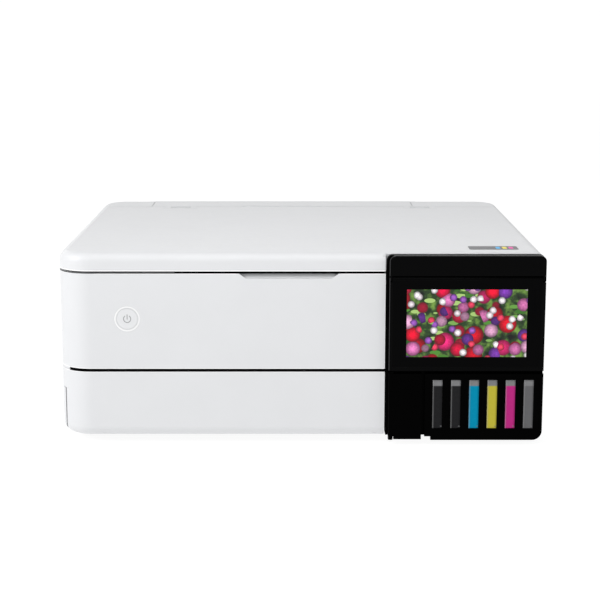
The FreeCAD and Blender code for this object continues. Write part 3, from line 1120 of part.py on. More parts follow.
# every object is checked before the pieces are written
for obj in doc.Objects:
    if "Invalid" in obj.State or "Error" in obj.State:
        raise RuntimeError(f"{obj.Name} did not compute: {obj.State}")
for obj in NODES:
    if obj.Shape.isNull() or not obj.Shape.isValid() or not obj.Shape.Solids:
        raise RuntimeError(f"{obj.Label} has no valid solid")
    obj.Shape.exportStep(f"parts/{obj.Label}.step")
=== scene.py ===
"""Studio picture of a six-colour ink-tank photo printer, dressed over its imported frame."""
import json
import logging
import math
from dataclasses import dataclass, replace
from enum import Enum
from typing import Sequence

import bmesh
import bpy
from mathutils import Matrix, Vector


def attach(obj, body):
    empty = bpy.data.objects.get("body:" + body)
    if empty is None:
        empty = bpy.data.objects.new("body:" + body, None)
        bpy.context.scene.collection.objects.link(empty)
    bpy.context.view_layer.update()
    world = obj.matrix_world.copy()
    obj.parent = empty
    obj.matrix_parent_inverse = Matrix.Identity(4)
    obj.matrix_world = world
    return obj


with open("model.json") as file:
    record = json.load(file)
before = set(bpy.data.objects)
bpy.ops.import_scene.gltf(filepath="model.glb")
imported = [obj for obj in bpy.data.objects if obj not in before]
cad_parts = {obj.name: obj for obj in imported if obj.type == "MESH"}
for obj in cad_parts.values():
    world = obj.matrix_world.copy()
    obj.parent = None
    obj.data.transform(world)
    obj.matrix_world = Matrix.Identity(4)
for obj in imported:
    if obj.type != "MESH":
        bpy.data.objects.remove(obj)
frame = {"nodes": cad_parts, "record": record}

LOG = logging.getLogger("printer")
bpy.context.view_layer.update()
MM: float = 0.001

Colour = tuple[float, float, float]
Place = tuple[float, float, float]
Pair = tuple[float, float]
Outline = list[Pair]
Points = tuple[Pair, ...]
Stops = Sequence[tuple[float, Colour]]
Socket = bpy.types.NodeSocket
Value = float | Sequence[float] | Socket

# Outline points nearer than this, in millimetres, are one point.
CLOSE: float = 1e-6
BEVEL_STEPS: int = 2
EDGE_SAMPLES: int = 4
# Grain of faint smears and of wear, in metres, and how far wear varies a roughness.
SMEAR: float = 0.004
WEAR_GRAIN: float = 0.006
WEAR: Pair = (0.9, 1.1)
EVEN: Place = (1.0, 1.0, 1.0)
# Scale that drops the depth, for what is drawn on the screen.
FLAT: Place = (1.0, 0.0, 1.0)
# Middle of the first ink window on X and the distance to the next, in millimetres.
TANK_MIDDLE: float = 114.05
TANK_PITCH: float = 15.15


class Axis(Enum):
    """The direction in which a flat outline is given its thickness."""

    X = "x"
    Y = "y"
    Z = "z"

    def place(self, u: float, v: float, w: float) -> Vector:
        """A point in metres from outline places u, v and thickness place w in millimetres."""
        order = {"x": (w, u, v), "y": (u, w, v), "z": (u, v, w)}[self.value]
        return Vector(order) * MM


class Join(Enum):
    """How one colour is laid over another."""

    MIX = "MIX"
    MULTIPLY = "MULTIPLY"
    ADD = "ADD"


class Sum(Enum):
    """The sums done in shaders."""

    ABOVE = "GREATER_THAN"
    BELOW = "LESS_THAN"
    LESS = "SUBTRACT"
    TIMES = "MULTIPLY"
    OVER = "DIVIDE"
    REST = "FRACT"


class Graph:
    """A material's node tree round one principled shader."""

    # Places of the mix node's sockets for colours.
    MIX_FACTOR, MIX_FIRST, MIX_SECOND, MIX_RESULT = 0, 6, 7, 2

    def __init__(self, name: str) -> None:
        """Start a material.

        Args:
            name: The material's name.
        """
        self.material = bpy.data.materials.new(name)
        self.material.use_nodes = True
        self.tree = self.material.node_tree
        self.shader = self.tree.nodes["Principled BSDF"]
        self.place = self.add("TexCoord").outputs["Object"]

    def add(self, kind: str, inputs: dict[str | int, Value] | None = None,
            **settings: object) -> bpy.types.Node:
        """Add a shader node.

        Args:
            kind: The node's type without its usual prefix.
            inputs: Values or sockets for its inputs, by name or place.
            settings: Attributes of the node.

        Returns:
            The new node.
        """
        node = self.tree.nodes.new("ShaderNode" + kind)
        for key, value in settings.items():
            setattr(node, key, value)
        for key, value in (inputs or {}).items():
            self.put(node, key, value)
        return node

    def put(self, node: bpy.types.Node, key: str | int, value: Value) -> None:
        """Set one input of a node, by a link where the value is a socket.

        Args:
            node: The node.
            key: The input's name or place.
            value: A number, a colour, a vector or a socket.
        """
        if isinstance(value, bpy.types.NodeSocket):
            self.tree.links.new(value, node.inputs[key])
        elif isinstance(value, tuple) and len(value) == 3 and node.inputs[key].type == "RGBA":
            node.inputs[key].default_value = (*value, 1.0)
        else:
            node.inputs[key].default_value = value

    def dress(self, **inputs: Value) -> None:
        """Set inputs of the shader; an underscore stands for a space."""
        for key, value in inputs.items():
            self.put(self.shader, key.replace("_", " "), value)

    def noise(self, size: float, detail: float = 2.0, stretch: Place = EVEN) -> Socket:
        """Noise of about one grain per size in metres, with octaves of detail, stretched on the axes."""
        mapped = self.add("Mapping", {"Vector": self.place, "Scale": stretch}).outputs[0]
        return self.add("TexNoise", {"Vector": mapped, "Scale": 1.0 / size, "Detail": detail}).outputs[0]

    def blend(self, factor: Value, first: Value, second: Value, join: Join = Join.MIX) -> Socket:
        """The first colour with the second laid over it by a factor."""
        inputs = {self.MIX_FACTOR: factor, self.MIX_FIRST: first, self.MIX_SECOND: second}
        return self.add("Mix", inputs, data_type="RGBA", blend_type=join.value).outputs[self.MIX_RESULT]

    def spread(self, value: Value, low: float, high: float, start: float = 0.25,
               end: float = 0.75) -> Socket:
        """Map a value from start..end to low..high."""
        inputs = {"Value": value, "From Min": start, "From Max": end, "To Min": low, "To Max": high}
        return self.add("MapRange", inputs).outputs[0]

    def worn(self, roughness: float) -> Socket:
        """A roughness that varies a little with wear."""
        return self.spread(self.noise(WEAR_GRAIN, detail=3.0), roughness * WEAR[0], roughness * WEAR[1])

    def maths(self, work: Sum, first: Value, second: Value = 0.0) -> Socket:
        """The result of one sum."""
        return self.add("Math", {0: first, 1: second}, operation=work.value).outputs[0]

    def along(self, axis: Axis) -> Socket:
        """One coordinate of the surface in the frame."""
        return self.add("SeparateXYZ", {0: self.place}).outputs[axis.name]

    def ramp(self, value: Value, stops: Stops, constant: bool = False) -> Socket:
        """A colour ramp.

        Args:
            value: What runs along it.
            stops: Place and colour of each stop, in order.
            constant: Whether each stop's colour holds until the next.

        Returns:
            The ramp's colour.
        """
        made = self.add("ValToRGB", {0: value})
        band = made.color_ramp
        band.interpolation = "CONSTANT" if constant else "LINEAR"
        for _ in range(len(stops) - 2):
            band.elements.new(0.5)
        for element, (place, colour) in zip(band.elements, stops):
            element.position = place
            element.color = (*colour, 1.0)
        return made.outputs[0]

    def greys(self, value: Value, levels: Points) -> Socket:
        """A ramp of neutral colours, from their places and levels."""
        return self.ramp(value, [(place, (level, level, level)) for place, level in levels])

    def relief(self, height: Value, strength: float, depth: float, edge: float = 0.0) -> None:
        """Give the shader a bump over softened edges.

        Args:
            height: The bump's height field.
            strength: Its strength.
            depth: Its depth in metres.
            edge: Radius of the softened edges in metres.
        """
        bump = self.add("Bump", {"Height": height, "Strength": strength, "Distance": depth})
        if edge:
            soft = self.add("Bevel", {"Radius": edge}, samples=EDGE_SAMPLES)
            self.put(bump, "Normal", soft.outputs[0])
        self.dress(Normal=bump.outputs[0])


def shaded(colour: Colour, factor: float) -> Colour:
    """A colour times a factor."""
    return (colour[0] * factor, colour[1] * factor, colour[2] * factor)


def even_stops(tones: Sequence[Colour]) -> list[tuple[float, Colour]]:
    """Stops of a ramp with a band of one width for each tone."""
    return [(index / len(tones), tone) for index, tone in enumerate(tones)]


@dataclass(frozen=True)
class Finish:
    """A named finish, whose material is made at its first use."""

    name: str

    def material(self) -> bpy.types.Material:
        """Give the material of this finish.

        Returns:
            The material, made now or before.
        """
        made = bpy.data.materials.get(self.name)
        if made is None:
            graph = Graph(self.name)
            self.paint(graph)
            made = graph.material
        return made

    def paint(self, graph: Graph) -> None:
        """Set up the nodes of this kind of finish."""
        raise NotImplementedError(self.name)


@dataclass(frozen=True)
class Moulded(Finish):
    """Moulded plastic or rubber: faint mottle, fine grain, softened edges."""

    colour: Colour
    roughness: float = 0.45
    specular: float = 0.5
    grain: float = 0.0005
    relief: float = 0.12
    mottle: float = 0.02
    edge: float = 0.0006
    patch: float = 0.03
    depth: float = 0.00005

    def paint(self, graph: Graph) -> None:
        """Set up the nodes.

        Args:
            graph: Where they go.
        """
        first, second = shaded(self.colour, 1 - self.mottle), shaded(self.colour, 1 + self.mottle)
        graph.dress(
            Base_Color=graph.blend(graph.noise(self.patch, detail=4.0), first, second),
            Roughness=graph.worn(self.roughness),
            Specular_IOR_Level=self.specular,
        )
        graph.relief(graph.noise(self.grain), self.relief, self.depth, self.edge)


@dataclass(frozen=True)
class TwoTone(Finish):
    """Moulded plastic whose colour changes at a height."""

    low: Colour
    high: Colour
    change: float
    roughness: float = 0.5
    patch: float = 0.02
    patch_tone: Colour = (0.4, 0.4, 0.4)
    patch_share: float = 0.05
    grain: float = 0.0005
    relief: float = 0.1
    depth: float = 0.00005
    edge: float = 0.0005

    def paint(self, graph: Graph) -> None:
        """Set up the nodes.

        Args:
            graph: Where they go.
        """
        above = graph.maths(Sum.ABOVE, graph.along(Axis.Z), self.change)
        tone = graph.blend(above, self.low, self.high)
        patch = graph.spread(graph.noise(self.patch, detail=4.0), 0.0, self.patch_share)
        graph.dress(
            Base_Color=graph.blend(patch, tone, self.patch_tone),
            Roughness=graph.worn(self.roughness),
        )
        graph.relief(graph.noise(self.grain), self.relief, self.depth, self.edge)


@dataclass(frozen=True)
class Metal(Finish):
    """Sheet or turned metal with fine drawn lines."""

    colour: Colour
    roughness: float
    line: float = 0.004
    drawn: Place = (1.0, 18.0, 18.0)
    tones: Pair = (0.88, 1.06)
    wear: Pair = (0.75, 1.3)
    relief: float = 0.08
    depth: float = 0.00004
    edge: float = 0.0003

    def paint(self, graph: Graph) -> None:
        """Set up the nodes.

        Args:
            graph: Where they go.
        """
        lines = graph.noise(self.line, detail=5.0, stretch=self.drawn)
        first, second = (shaded(self.colour, tone) for tone in self.tones)
        graph.dress(
            Base_Color=graph.blend(lines, first, second),
            Roughness=graph.spread(lines, *(self.roughness * wear for wear in self.wear)),
            Metallic=1.0,
        )
        graph.relief(lines, self.relief, self.depth, self.edge)


@dataclass(frozen=True)
class ClearGlass(Finish):
    """Flat clear glass with a faint green tint and wipe marks."""

    tint: Colour = (0.93, 0.97, 0.95)
    wipe: float = 0.05
    wiped: Place = (1.0, 6.0, 1.0)
    dull: float = 0.97
    haze: float = 0.03
    bending: float = 1.5

    def paint(self, graph: Graph) -> None:
        """Set up the nodes.

        Args:
            graph: Where they go.
        """
        wipes = graph.noise(self.wipe, detail=5.0, stretch=self.wiped)
        graph.dress(
            Base_Color=graph.blend(wipes, shaded(self.tint, self.dull), self.tint),
            Roughness=graph.spread(wipes, 0.0, self.haze),
            Transmission_Weight=1.0,
            IOR=self.bending,
        )


@dataclass(frozen=True)
class InkTank(Finish):
    """Clear tanks side by side, each with its own ink up to one level.

    The glint and the shade are levels across one tank, from its left to its right: a painted highlight
    that lightens its left part and a painted shade that darkens its right part.
    """

    inks: tuple[Colour, ...]
    start: float
    pitch: float
    level: float
    blur: float = 0.0004
    empty: Colour = (0.20, 0.20, 0.205)
    glint: Points = ((0.0, 0.0), (0.225, 0.16), (0.27, 0.12), (0.32, 0.0), (1.0, 0.0))
    shade: Points = ((0.0, 1.0), (0.66, 1.0), (0.74, 0.72), (1.0, 0.72))
    roughness: Pair = (0.22, 0.32)
    specular: float = 0.04
    grain: float = 0.0008
    relief: float = 0.05
    depth: float = 0.00004
    edge: float = 0.0004

    def paint(self, graph: Graph) -> None:
        """Set up the nodes.

        Args:
            graph: Where they go.
        """
        past = graph.maths(Sum.LESS, graph.along(Axis.X), self.start)
        tanks = graph.maths(Sum.OVER, past, self.pitch)
        share = graph.maths(Sum.OVER, tanks, float(len(self.inks)))
        ink = graph.ramp(share, even_stops(self.inks), constant=True)
        ends = (self.level - self.blur, self.level + self.blur)
        filled = graph.blend(graph.spread(graph.along(Axis.Z), 0.0, 1.0, *ends), ink, self.empty)
        across = graph.maths(Sum.REST, tanks)
        # Painted shade on the right part of each tank; painted highlight on its left part below.
        painted_shade_ink = graph.blend(1.0, filled, graph.greys(across, self.shade), Join.MULTIPLY)
        graph.dress(
            Base_Color=graph.blend(1.0, painted_shade_ink, graph.greys(across, self.glint), Join.ADD),
            Roughness=graph.spread(graph.noise(SMEAR), *self.roughness),
            Specular_IOR_Level=self.specular,
        )
        graph.relief(graph.noise(self.grain), self.relief, self.depth, self.edge)


@dataclass(frozen=True)
class Scatter:
    """Shapes strewn over the screen, one in each cell of a loose grid.

    Size is their spacing in metres, share how many of them there are, turn the grid's angle in radians,
    flatness how much wider than high they are, and reach how much of its cell each one fills.
    """

    size: float
    share: float
    turn: float
    tones: tuple[Colour, ...]
    flatness: float = 1.0
    reach: float = 0.52
    rim: float = 0.03
    looseness: float = 0.85
    light: Pair = (1.1, 0.12)
    core: float = 0.12
    ripple: float = 0.0016
    ripple_light: Pair = (0.65, 1.25)

    def strew(self, graph: Graph, flat: Socket) -> tuple[Socket, Socket, Socket]:
        """Add the nodes of the shapes.

        Args:
            graph: Where they go.
            flat: The place on the screen.

        Returns:
            Where the shapes are, a random value of each, and the light on their domes.
        """
        turn, scale = (0.0, self.turn, 0.0), (1.0, 1.0, self.flatness)
        turned = graph.add("Mapping", {"Vector": flat, "Rotation": turn, "Scale": scale}).outputs[0]
        inputs = {"Vector": turned, "Scale": 1.0 / self.size, "Randomness": self.looseness}
        cells = graph.add("TexVoronoi", inputs).outputs
        chance = graph.add("SeparateColor", {0: cells["Color"]}).outputs
        some = graph.maths(Sum.BELOW, chance["Green"], self.share)
        inside = graph.spread(cells["Distance"], 1.0, 0.0, self.reach - self.rim, self.reach)
        dome = graph.spread(cells["Distance"], *self.light, self.core, self.reach)
        ripple = graph.spread(graph.noise(self.ripple, detail=3.0, stretch=FLAT), *self.ripple_light)
        where = graph.maths(Sum.TIMES, inside, some)
        return where, chance["Red"], graph.maths(Sum.TIMES, dome, ripple)


@dataclass(frozen=True)
class ScreenPicture(Finish):
    """Lit screen with a plain made-up still of beads and leaves on a dark ground."""

    ground: Stops = (
        (0.35, (0.004, 0.006, 0.004)), (0.5, (0.02, 0.05, 0.012)), (0.68, (0.16, 0.3, 0.05)))
    ground_patch: float = 0.008
    leaves: Scatter = Scatter(
        0.012, 0.8, 0.7, ((0.02, 0.09, 0.01), (0.08, 0.26, 0.03), (0.35, 0.52, 0.16)), 2.4, 0.4)
    leaf_stops: tuple[float, ...] = (0.2, 0.5, 0.8)
    beads: tuple[Scatter, ...] = (
        Scatter(0.0155, 0.9, 0.0, (
            (0.9, 0.0, 0.02), (0.6, 0.0, 0.015), (0.85, 0.01, 0.07), (0.72, 0.0, 0.01), (0.9, 0.02, 0.2))),
        Scatter(0.0125, 0.55, 1.1, (
            (0.9, 0.0, 0.03), (0.85, 0.22, 0.55), (0.2, 0.04, 0.42), (0.75, 0.0, 0.05), (0.9, 0.45, 0.7))),
        Scatter(0.0062, 0.25, 2.3, (
            (0.95, 0.9, 0.92), (0.9, 0.05, 0.12), (0.35, 0.1, 0.55), (0.95, 0.85, 0.9))),
    )
    unlit: Colour = (0.004, 0.004, 0.005)
    unlit_bead: Colour = (0.006, 0.006, 0.007)
    smear: float = 0.03
    roughness: Pair = (0.06, 0.12)
    specular: float = 0.2
    glow: float = 1.2

    def paint(self, graph: Graph) -> None:
        """Set up the nodes.

        Args:
            graph: Where they go.
        """
        flat = graph.add("Mapping", {"Vector": graph.place, "Scale": FLAT}).outputs[0]
        ground = graph.ramp(graph.noise(self.ground_patch, detail=3.0, stretch=FLAT), self.ground)
        on_leaf, pick, _ = self.leaves.strew(graph, flat)
        leaf_tone = graph.ramp(pick, list(zip(self.leaf_stops, self.leaves.tones)))
        picture = graph.blend(on_leaf, ground, leaf_tone)
        for layer in self.beads:
            on_bead, pick, dome = layer.strew(graph, flat)
            tone = graph.ramp(pick, even_stops(layer.tones), constant=True)
            picture = graph.blend(on_bead, picture, graph.blend(1.0, tone, dome, Join.MULTIPLY))
        graph.dress(
            Base_Color=graph.blend(on_bead, self.unlit, self.unlit_bead),
            Roughness=graph.spread(graph.noise(self.smear), *self.roughness),
            Specular_IOR_Level=self.specular,
            Emission_Color=picture,
            Emission_Strength=self.glow,
        )


@dataclass(frozen=True)
class Circuit(Finish):
    """Solder-masked board with lighter copper runs under the mask."""

    mask: Colour = (0.012, 0.12, 0.05)
    copper: Colour = (0.04, 0.24, 0.10)
    cells: float = 240.0
    looseness: float = 0.15
    run: Pair = (0.86, 0.95)
    roughness: Pair = (0.25, 0.4)
    relief: float = 0.2
    depth: float = 0.00004

    def paint(self, graph: Graph) -> None:
        """Set up the nodes.

        Args:
            graph: Where they go.
        """
        inputs = {"Vector": graph.place, "Scale": self.cells, "Randomness": self.looseness}
        cells = graph.add("TexVoronoi", inputs, distance="MANHATTAN", feature="F2")
        runs = graph.spread(cells.outputs["Distance"], 0.0, 1.0, *self.run)
        graph.dress(
            Base_Color=graph.blend(runs, self.mask, self.copper),
            Roughness=graph.spread(graph.noise(SMEAR), *self.roughness),
        )
        graph.relief(runs, self.relief, self.depth)


@dataclass(frozen=True)
class Backdrop(Finish):
    """Pale studio floor that glows a little, to stay white behind the object."""

    low: Colour = (0.14, 0.14, 0.14)
    high: Colour = (0.16, 0.16, 0.16)
    patch: float = 0.4
    roughness: Pair = (0.85, 0.95)
    glow: float = 0.94

    def paint(self, graph: Graph) -> None:
        """Set up the nodes.

        Args:
            graph: Where they go.
        """
        patch = graph.noise(self.patch, detail=3.0)
        graph.dress(
            Base_Color=graph.blend(patch, self.low, self.high),
            Roughness=graph.spread(patch, *self.roughness),
            Specular_IOR_Level=0.0,
            Emission_Color=(1.0, 1.0, 1.0),
            Emission_Strength=self.glow,
        )


WHITE = Moulded("white_case_plastic", (0.695, 0.702, 0.716), 0.42)
TRIM = Moulded("white_trim_plastic", (0.7, 0.7, 0.7), 0.4, grain=0.0004)
# Whiter than the case: painted highlight for rounded edges along the seams.
HIGHLIGHT_WHITE = Moulded("painted_highlight_white", (0.92, 0.92, 0.92), 0.3, grain=0.0004, edge=0.0)
# Ring brighter than the case: painted highlight on a raised ring.
RING_HIGHLIGHT = Moulded("painted_highlight_ring", (0.88, 0.88, 0.885), 0.3, grain=0.0004, edge=0.0)
BUTTON = Moulded("pale_button_plastic", (0.72, 0.727, 0.74), 0.4)
SIGN = Moulded("grey_sign_ink", (0.27, 0.27, 0.28), 0.5, grain=0.0003, edge=0.0)
GLOSS = Moulded("black_gloss_plastic", (0.0012, 0.0012, 0.0013), 0.14, 0.03, relief=0.01, mottle=0.1)
TOUCH = Moulded("black_touch_glass", (0.001, 0.001, 0.0011), 0.05, 0.025, relief=0.0, mottle=0.1)
DEEP = Moulded("deep_black_plastic", (0.0004, 0.0004, 0.0004), 0.2, 0.012, relief=0.02, mottle=0.1)
# Grey lines on black edges: painted highlight.
GLINT = Moulded("painted_edge_highlight", (0.06, 0.06, 0.062), 0.3, 0.1, mottle=0.1, edge=0.0)
# Near-black strips set in the seam gaps: painted shade of the gaps.
SEAM_SHADE = Moulded("painted_seam_shade", (0.001, 0.001, 0.001), 0.8, 0.02, mottle=0.1, edge=0.0)
LIP = Moulded("pale_cover_lip", (0.36, 0.36, 0.37), 0.5, edge=0.0)
SATIN = Moulded("black_satin_plastic", (0.012, 0.012, 0.013), 0.4, 0.3, mottle=0.06)
CHASSIS = Moulded("dark_chassis_plastic", (0.028, 0.028, 0.03), 0.55, 0.35, relief=0.2, mottle=0.06)
GREY = Moulded("grey_moulding_plastic", (0.16, 0.16, 0.165), 0.5, 0.4, mottle=0.04)
RUBBER = Moulded("black_rubber", (0.018, 0.018, 0.019), 0.8, 0.25, grain=0.0004, relief=0.35, mottle=0.08)
GEAR = Moulded("white_gear_resin", (0.72, 0.71, 0.67), 0.38, 0.45)
MAT = Moulded("white_foam_mat", (0.84, 0.84, 0.83), 0.85, 0.2, grain=0.0008, relief=0.5, mottle=0.03)
SHEET = Metal("zinc_sheet_steel", (0.56, 0.57, 0.58), 0.38)
GROUND = Metal("ground_shaft_steel", (0.66, 0.66, 0.66), 0.18)
GOLD = Metal("gold_contact", (0.83, 0.62, 0.26), 0.25)
BOARD = Circuit("green_circuit_board")
GLASS = ClearGlass("scanner_glass_clear")
TUB = TwoTone("scanner_tub_plastic", (0.02, 0.02, 0.022), WHITE.colour, 0.147)
SCREEN = ScreenPicture("screen_picture")
FLOOR = Backdrop("pale_floor")
INKS: tuple[Colour, ...] = (
    (0.014, 0.014, 0.015), (0.015, 0.015, 0.016), (0.0, 0.24, 0.40),
    (0.48, 0.42, 0.042), (0.455, 0.022, 0.195), (0.12, 0.12, 0.124))
TANKS = InkTank("ink_tank_walls", INKS, (TANK_MIDDLE - TANK_PITCH / 2) * MM, TANK_PITCH * MM, 0.0512)
INK_CAPS: list[Finish] = [
    Moulded(f"cap_ink_{index}", ink, 0.4, edge=0.0) for index, ink in enumerate(INKS, 1)]
PAD_TONES: tuple[Colour, ...] = ((0.8, 0.03, 0.36), (0.9, 0.74, 0.02), (0.0, 0.4, 0.8))
PAD_INKS: list[Finish] = [
    Moulded(f"pad_ink_{index}", tone, 0.4, edge=0.0) for index, tone in enumerate(PAD_TONES, 1)]

SLOTS: dict[str, Finish] = {
    "white_case": WHITE, "white_trim": TRIM, "button_grey": BUTTON, "black_gloss": GLOSS,
    "black_satin": SATIN, "dark_chassis": CHASSIS, "grey_moulding": GREY, "touch_black": TOUCH,
    "screen": SCREEN, "tank_clear": TANKS, "rubber_black": RUBBER, "sheet_steel": SHEET,
    "ground_steel": GROUND, "gear_white": GEAR, "board_green": BOARD, "glass_clear": GLASS,
    "mat_white": MAT,
}
# Solids whose finish differs from the one of their slot.
OWN: dict[str, Finish] = {
    "scanner_tub": TUB, "card_cover": DEEP, "ink_bezel": DEEP, "tower_housing": DEEP,
}


def round_rect(u: Pair, v: Pair, radius: float, steps: int = 5) -> Outline:
    """A rectangle with round corners.

    Args:
        u: Ends on the first axis.
        v: Ends on the second axis.
        radius: Corner radius.
        steps: Segments in each corner.

    Returns:
        Its outline.
    """
    corners = ((u[1] - radius, v[1] - radius, 0), (u[0] + radius, v[1] - radius, 90),
               (u[0] + radius, v[0] + radius, 180), (u[1] - radius, v[0] + radius, 270))
    points: Outline = []
    for middle_u, middle_v, turn in corners:
        for step in range(steps + 1):
            angle = math.radians(turn + 90 * step / steps)
            place = (middle_u + radius * math.cos(angle), middle_v + radius * math.sin(angle))
            if not points or math.dist(points[-1], place) > CLOSE:
                points.append(place)
    return points


def shifted(ends: Pair, by: float) -> Pair:
    """Both ends moved along their axis."""
    return (ends[0] + by, ends[1] + by)


def arc_band(middle: Pair, radii: Pair, angles: Pair, steps: int = 28) -> Outline:
    """A band along part of a circle.

    Args:
        middle: Centre of the circle.
        radii: Inner and outer radius.
        angles: First and last angle in degrees.
        steps: Segments along it.

    Returns:
        Its outline.
    """
    points: Outline = []
    for radius, ends in ((radii[1], angles), (radii[0], angles[::-1])):
        for step in range(steps + 1):
            angle = math.radians(ends[0] + (ends[1] - ends[0]) * step / steps)
            points.append((middle[0] + radius * math.cos(angle), middle[1] + radius * math.sin(angle)))
    return points


@dataclass(frozen=True)
class Prism:
    """An outline with a thickness along an axis, in millimetres."""

    outline: Sequence[Pair]
    ends: Pair
    axis: Axis = Axis.Z

    def add_to(self, mesh: bmesh.types.BMesh) -> None:
        """Add this form to a mesh.

        Args:
            mesh: The mesh.
        """
        low = [mesh.verts.new(self.axis.place(u, v, self.ends[0])) for u, v in self.outline]
        high = [mesh.verts.new(self.axis.place(u, v, self.ends[1])) for u, v in self.outline]
        mesh.faces.new(low[::-1])
        mesh.faces.new(high)
        for index in range(len(low)):
            after = (index + 1) % len(low)
            mesh.faces.new((low[index], low[after], high[after], high[index]))


@dataclass(frozen=True)
class Slab:
    """A box in millimetres whose four edges along its axis are round."""

    x: Pair
    y: Pair
    z: Pair
    radius: float
    axis: Axis = Axis.Z

    def moved(self, x: float = 0.0, y: float = 0.0, z: float = 0.0) -> "Slab":
        """The same slab in another place."""
        return replace(self, x=shifted(self.x, x), y=shifted(self.y, y), z=shifted(self.z, z))

    def add_to(self, mesh: bmesh.types.BMesh) -> None:
        """Add this form to a mesh.

        Args:
            mesh: The mesh.
        """
        u, v, ends = {Axis.X: (self.y, self.z, self.x), Axis.Y: (self.x, self.z, self.y),
                      Axis.Z: (self.x, self.y, self.z)}[self.axis]
        Prism(round_rect(u, v, self.radius), ends, self.axis).add_to(mesh)


@dataclass(frozen=True)
class Lathe:
    """A profile of radius and place, turned about a line along an axis, in millimetres.

    Its ends are capped, or its profile closes on itself as a ring.
    """

    profile: Sequence[Pair]
    middle: Pair
    axis: Axis = Axis.Z
    steps: int = 32
    capped: bool = True

    def add_to(self, mesh: bmesh.types.BMesh) -> None:
        """Add this form to a mesh.

        Args:
            mesh: The mesh.
        """
        rings = []
        for radius, height in self.profile:
            ring = []
            for step in range(self.steps):
                angle = math.tau * step / self.steps
                u = self.middle[0] + radius * math.cos(angle)
                v = self.middle[1] + radius * math.sin(angle)
                ring.append(mesh.verts.new(self.axis.place(u, v, height)))
            rings.append(ring)
        for lower, upper in zip(rings, rings[1:] if self.capped else rings[1:] + rings[:1]):
            for step in range(self.steps):
                after = (step + 1) % self.steps
                mesh.faces.new((lower[step], lower[after], upper[after], upper[step]))
        if self.capped:
            mesh.faces.new(rings[0][::-1])
            mesh.faces.new(rings[-1])


def piece(name: str, forms: Sequence[Prism | Slab | Lathe], finish: Finish, body: str,
          bevel: float = 0.0) -> None:
    """Make one dressed piece from forms and let it ride on a body.

    Args:
        name: The piece's name.
        forms: What it is made of.
        finish: What it is dressed in.
        body: The body that carries it.
        bevel: Width of its softened edges in millimetres.
    """
    made = bmesh.new()
    for form in forms:
        form.add_to(made)
    bmesh.ops.recalc_face_normals(made, faces=made.faces)
    data = bpy.data.meshes.new(name)
    made.to_mesh(data)
    made.free()
    data.materials.append(finish.material())
    thing = bpy.data.objects.new(name, data)
    bpy.context.scene.collection.objects.link(thing)
    if bevel:
        soft = thing.modifiers.new("soft_edges", "BEVEL")
        soft.width = bevel * MM
        soft.segments = BEVEL_STEPS
        soft.limit_method = "ANGLE"
    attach(thing, body)
    LOG.info("%s rides on %s", name, body)


def dress_nodes() -> None:
    """Dress every carried-over solid by its slot in the record."""
    for part in frame["record"]["subparts"]:
        node = frame["nodes"][part["node"]]
        finish = OWN.get(part["node"], SLOTS[part["material_slot"]])
        node.data.materials.clear()
        node.data.materials.append(finish.material())
        LOG.info("%s dressed as %s", part["node"], part["material_slot"])


@dataclass(frozen=True)
class Strip:
    """A thin strip along the white front, in millimetres.

    One that starts at the case's left side also runs round the corner there, from the angle of its
    turn in degrees. Proud is how far it stands before the white face.
    """

    name: str
    body: str
    x: Pair
    z: Pair
    proud: float = 0.04
    depth: float = 0.5
    turn: int = 190
    bevel: float = 0.1


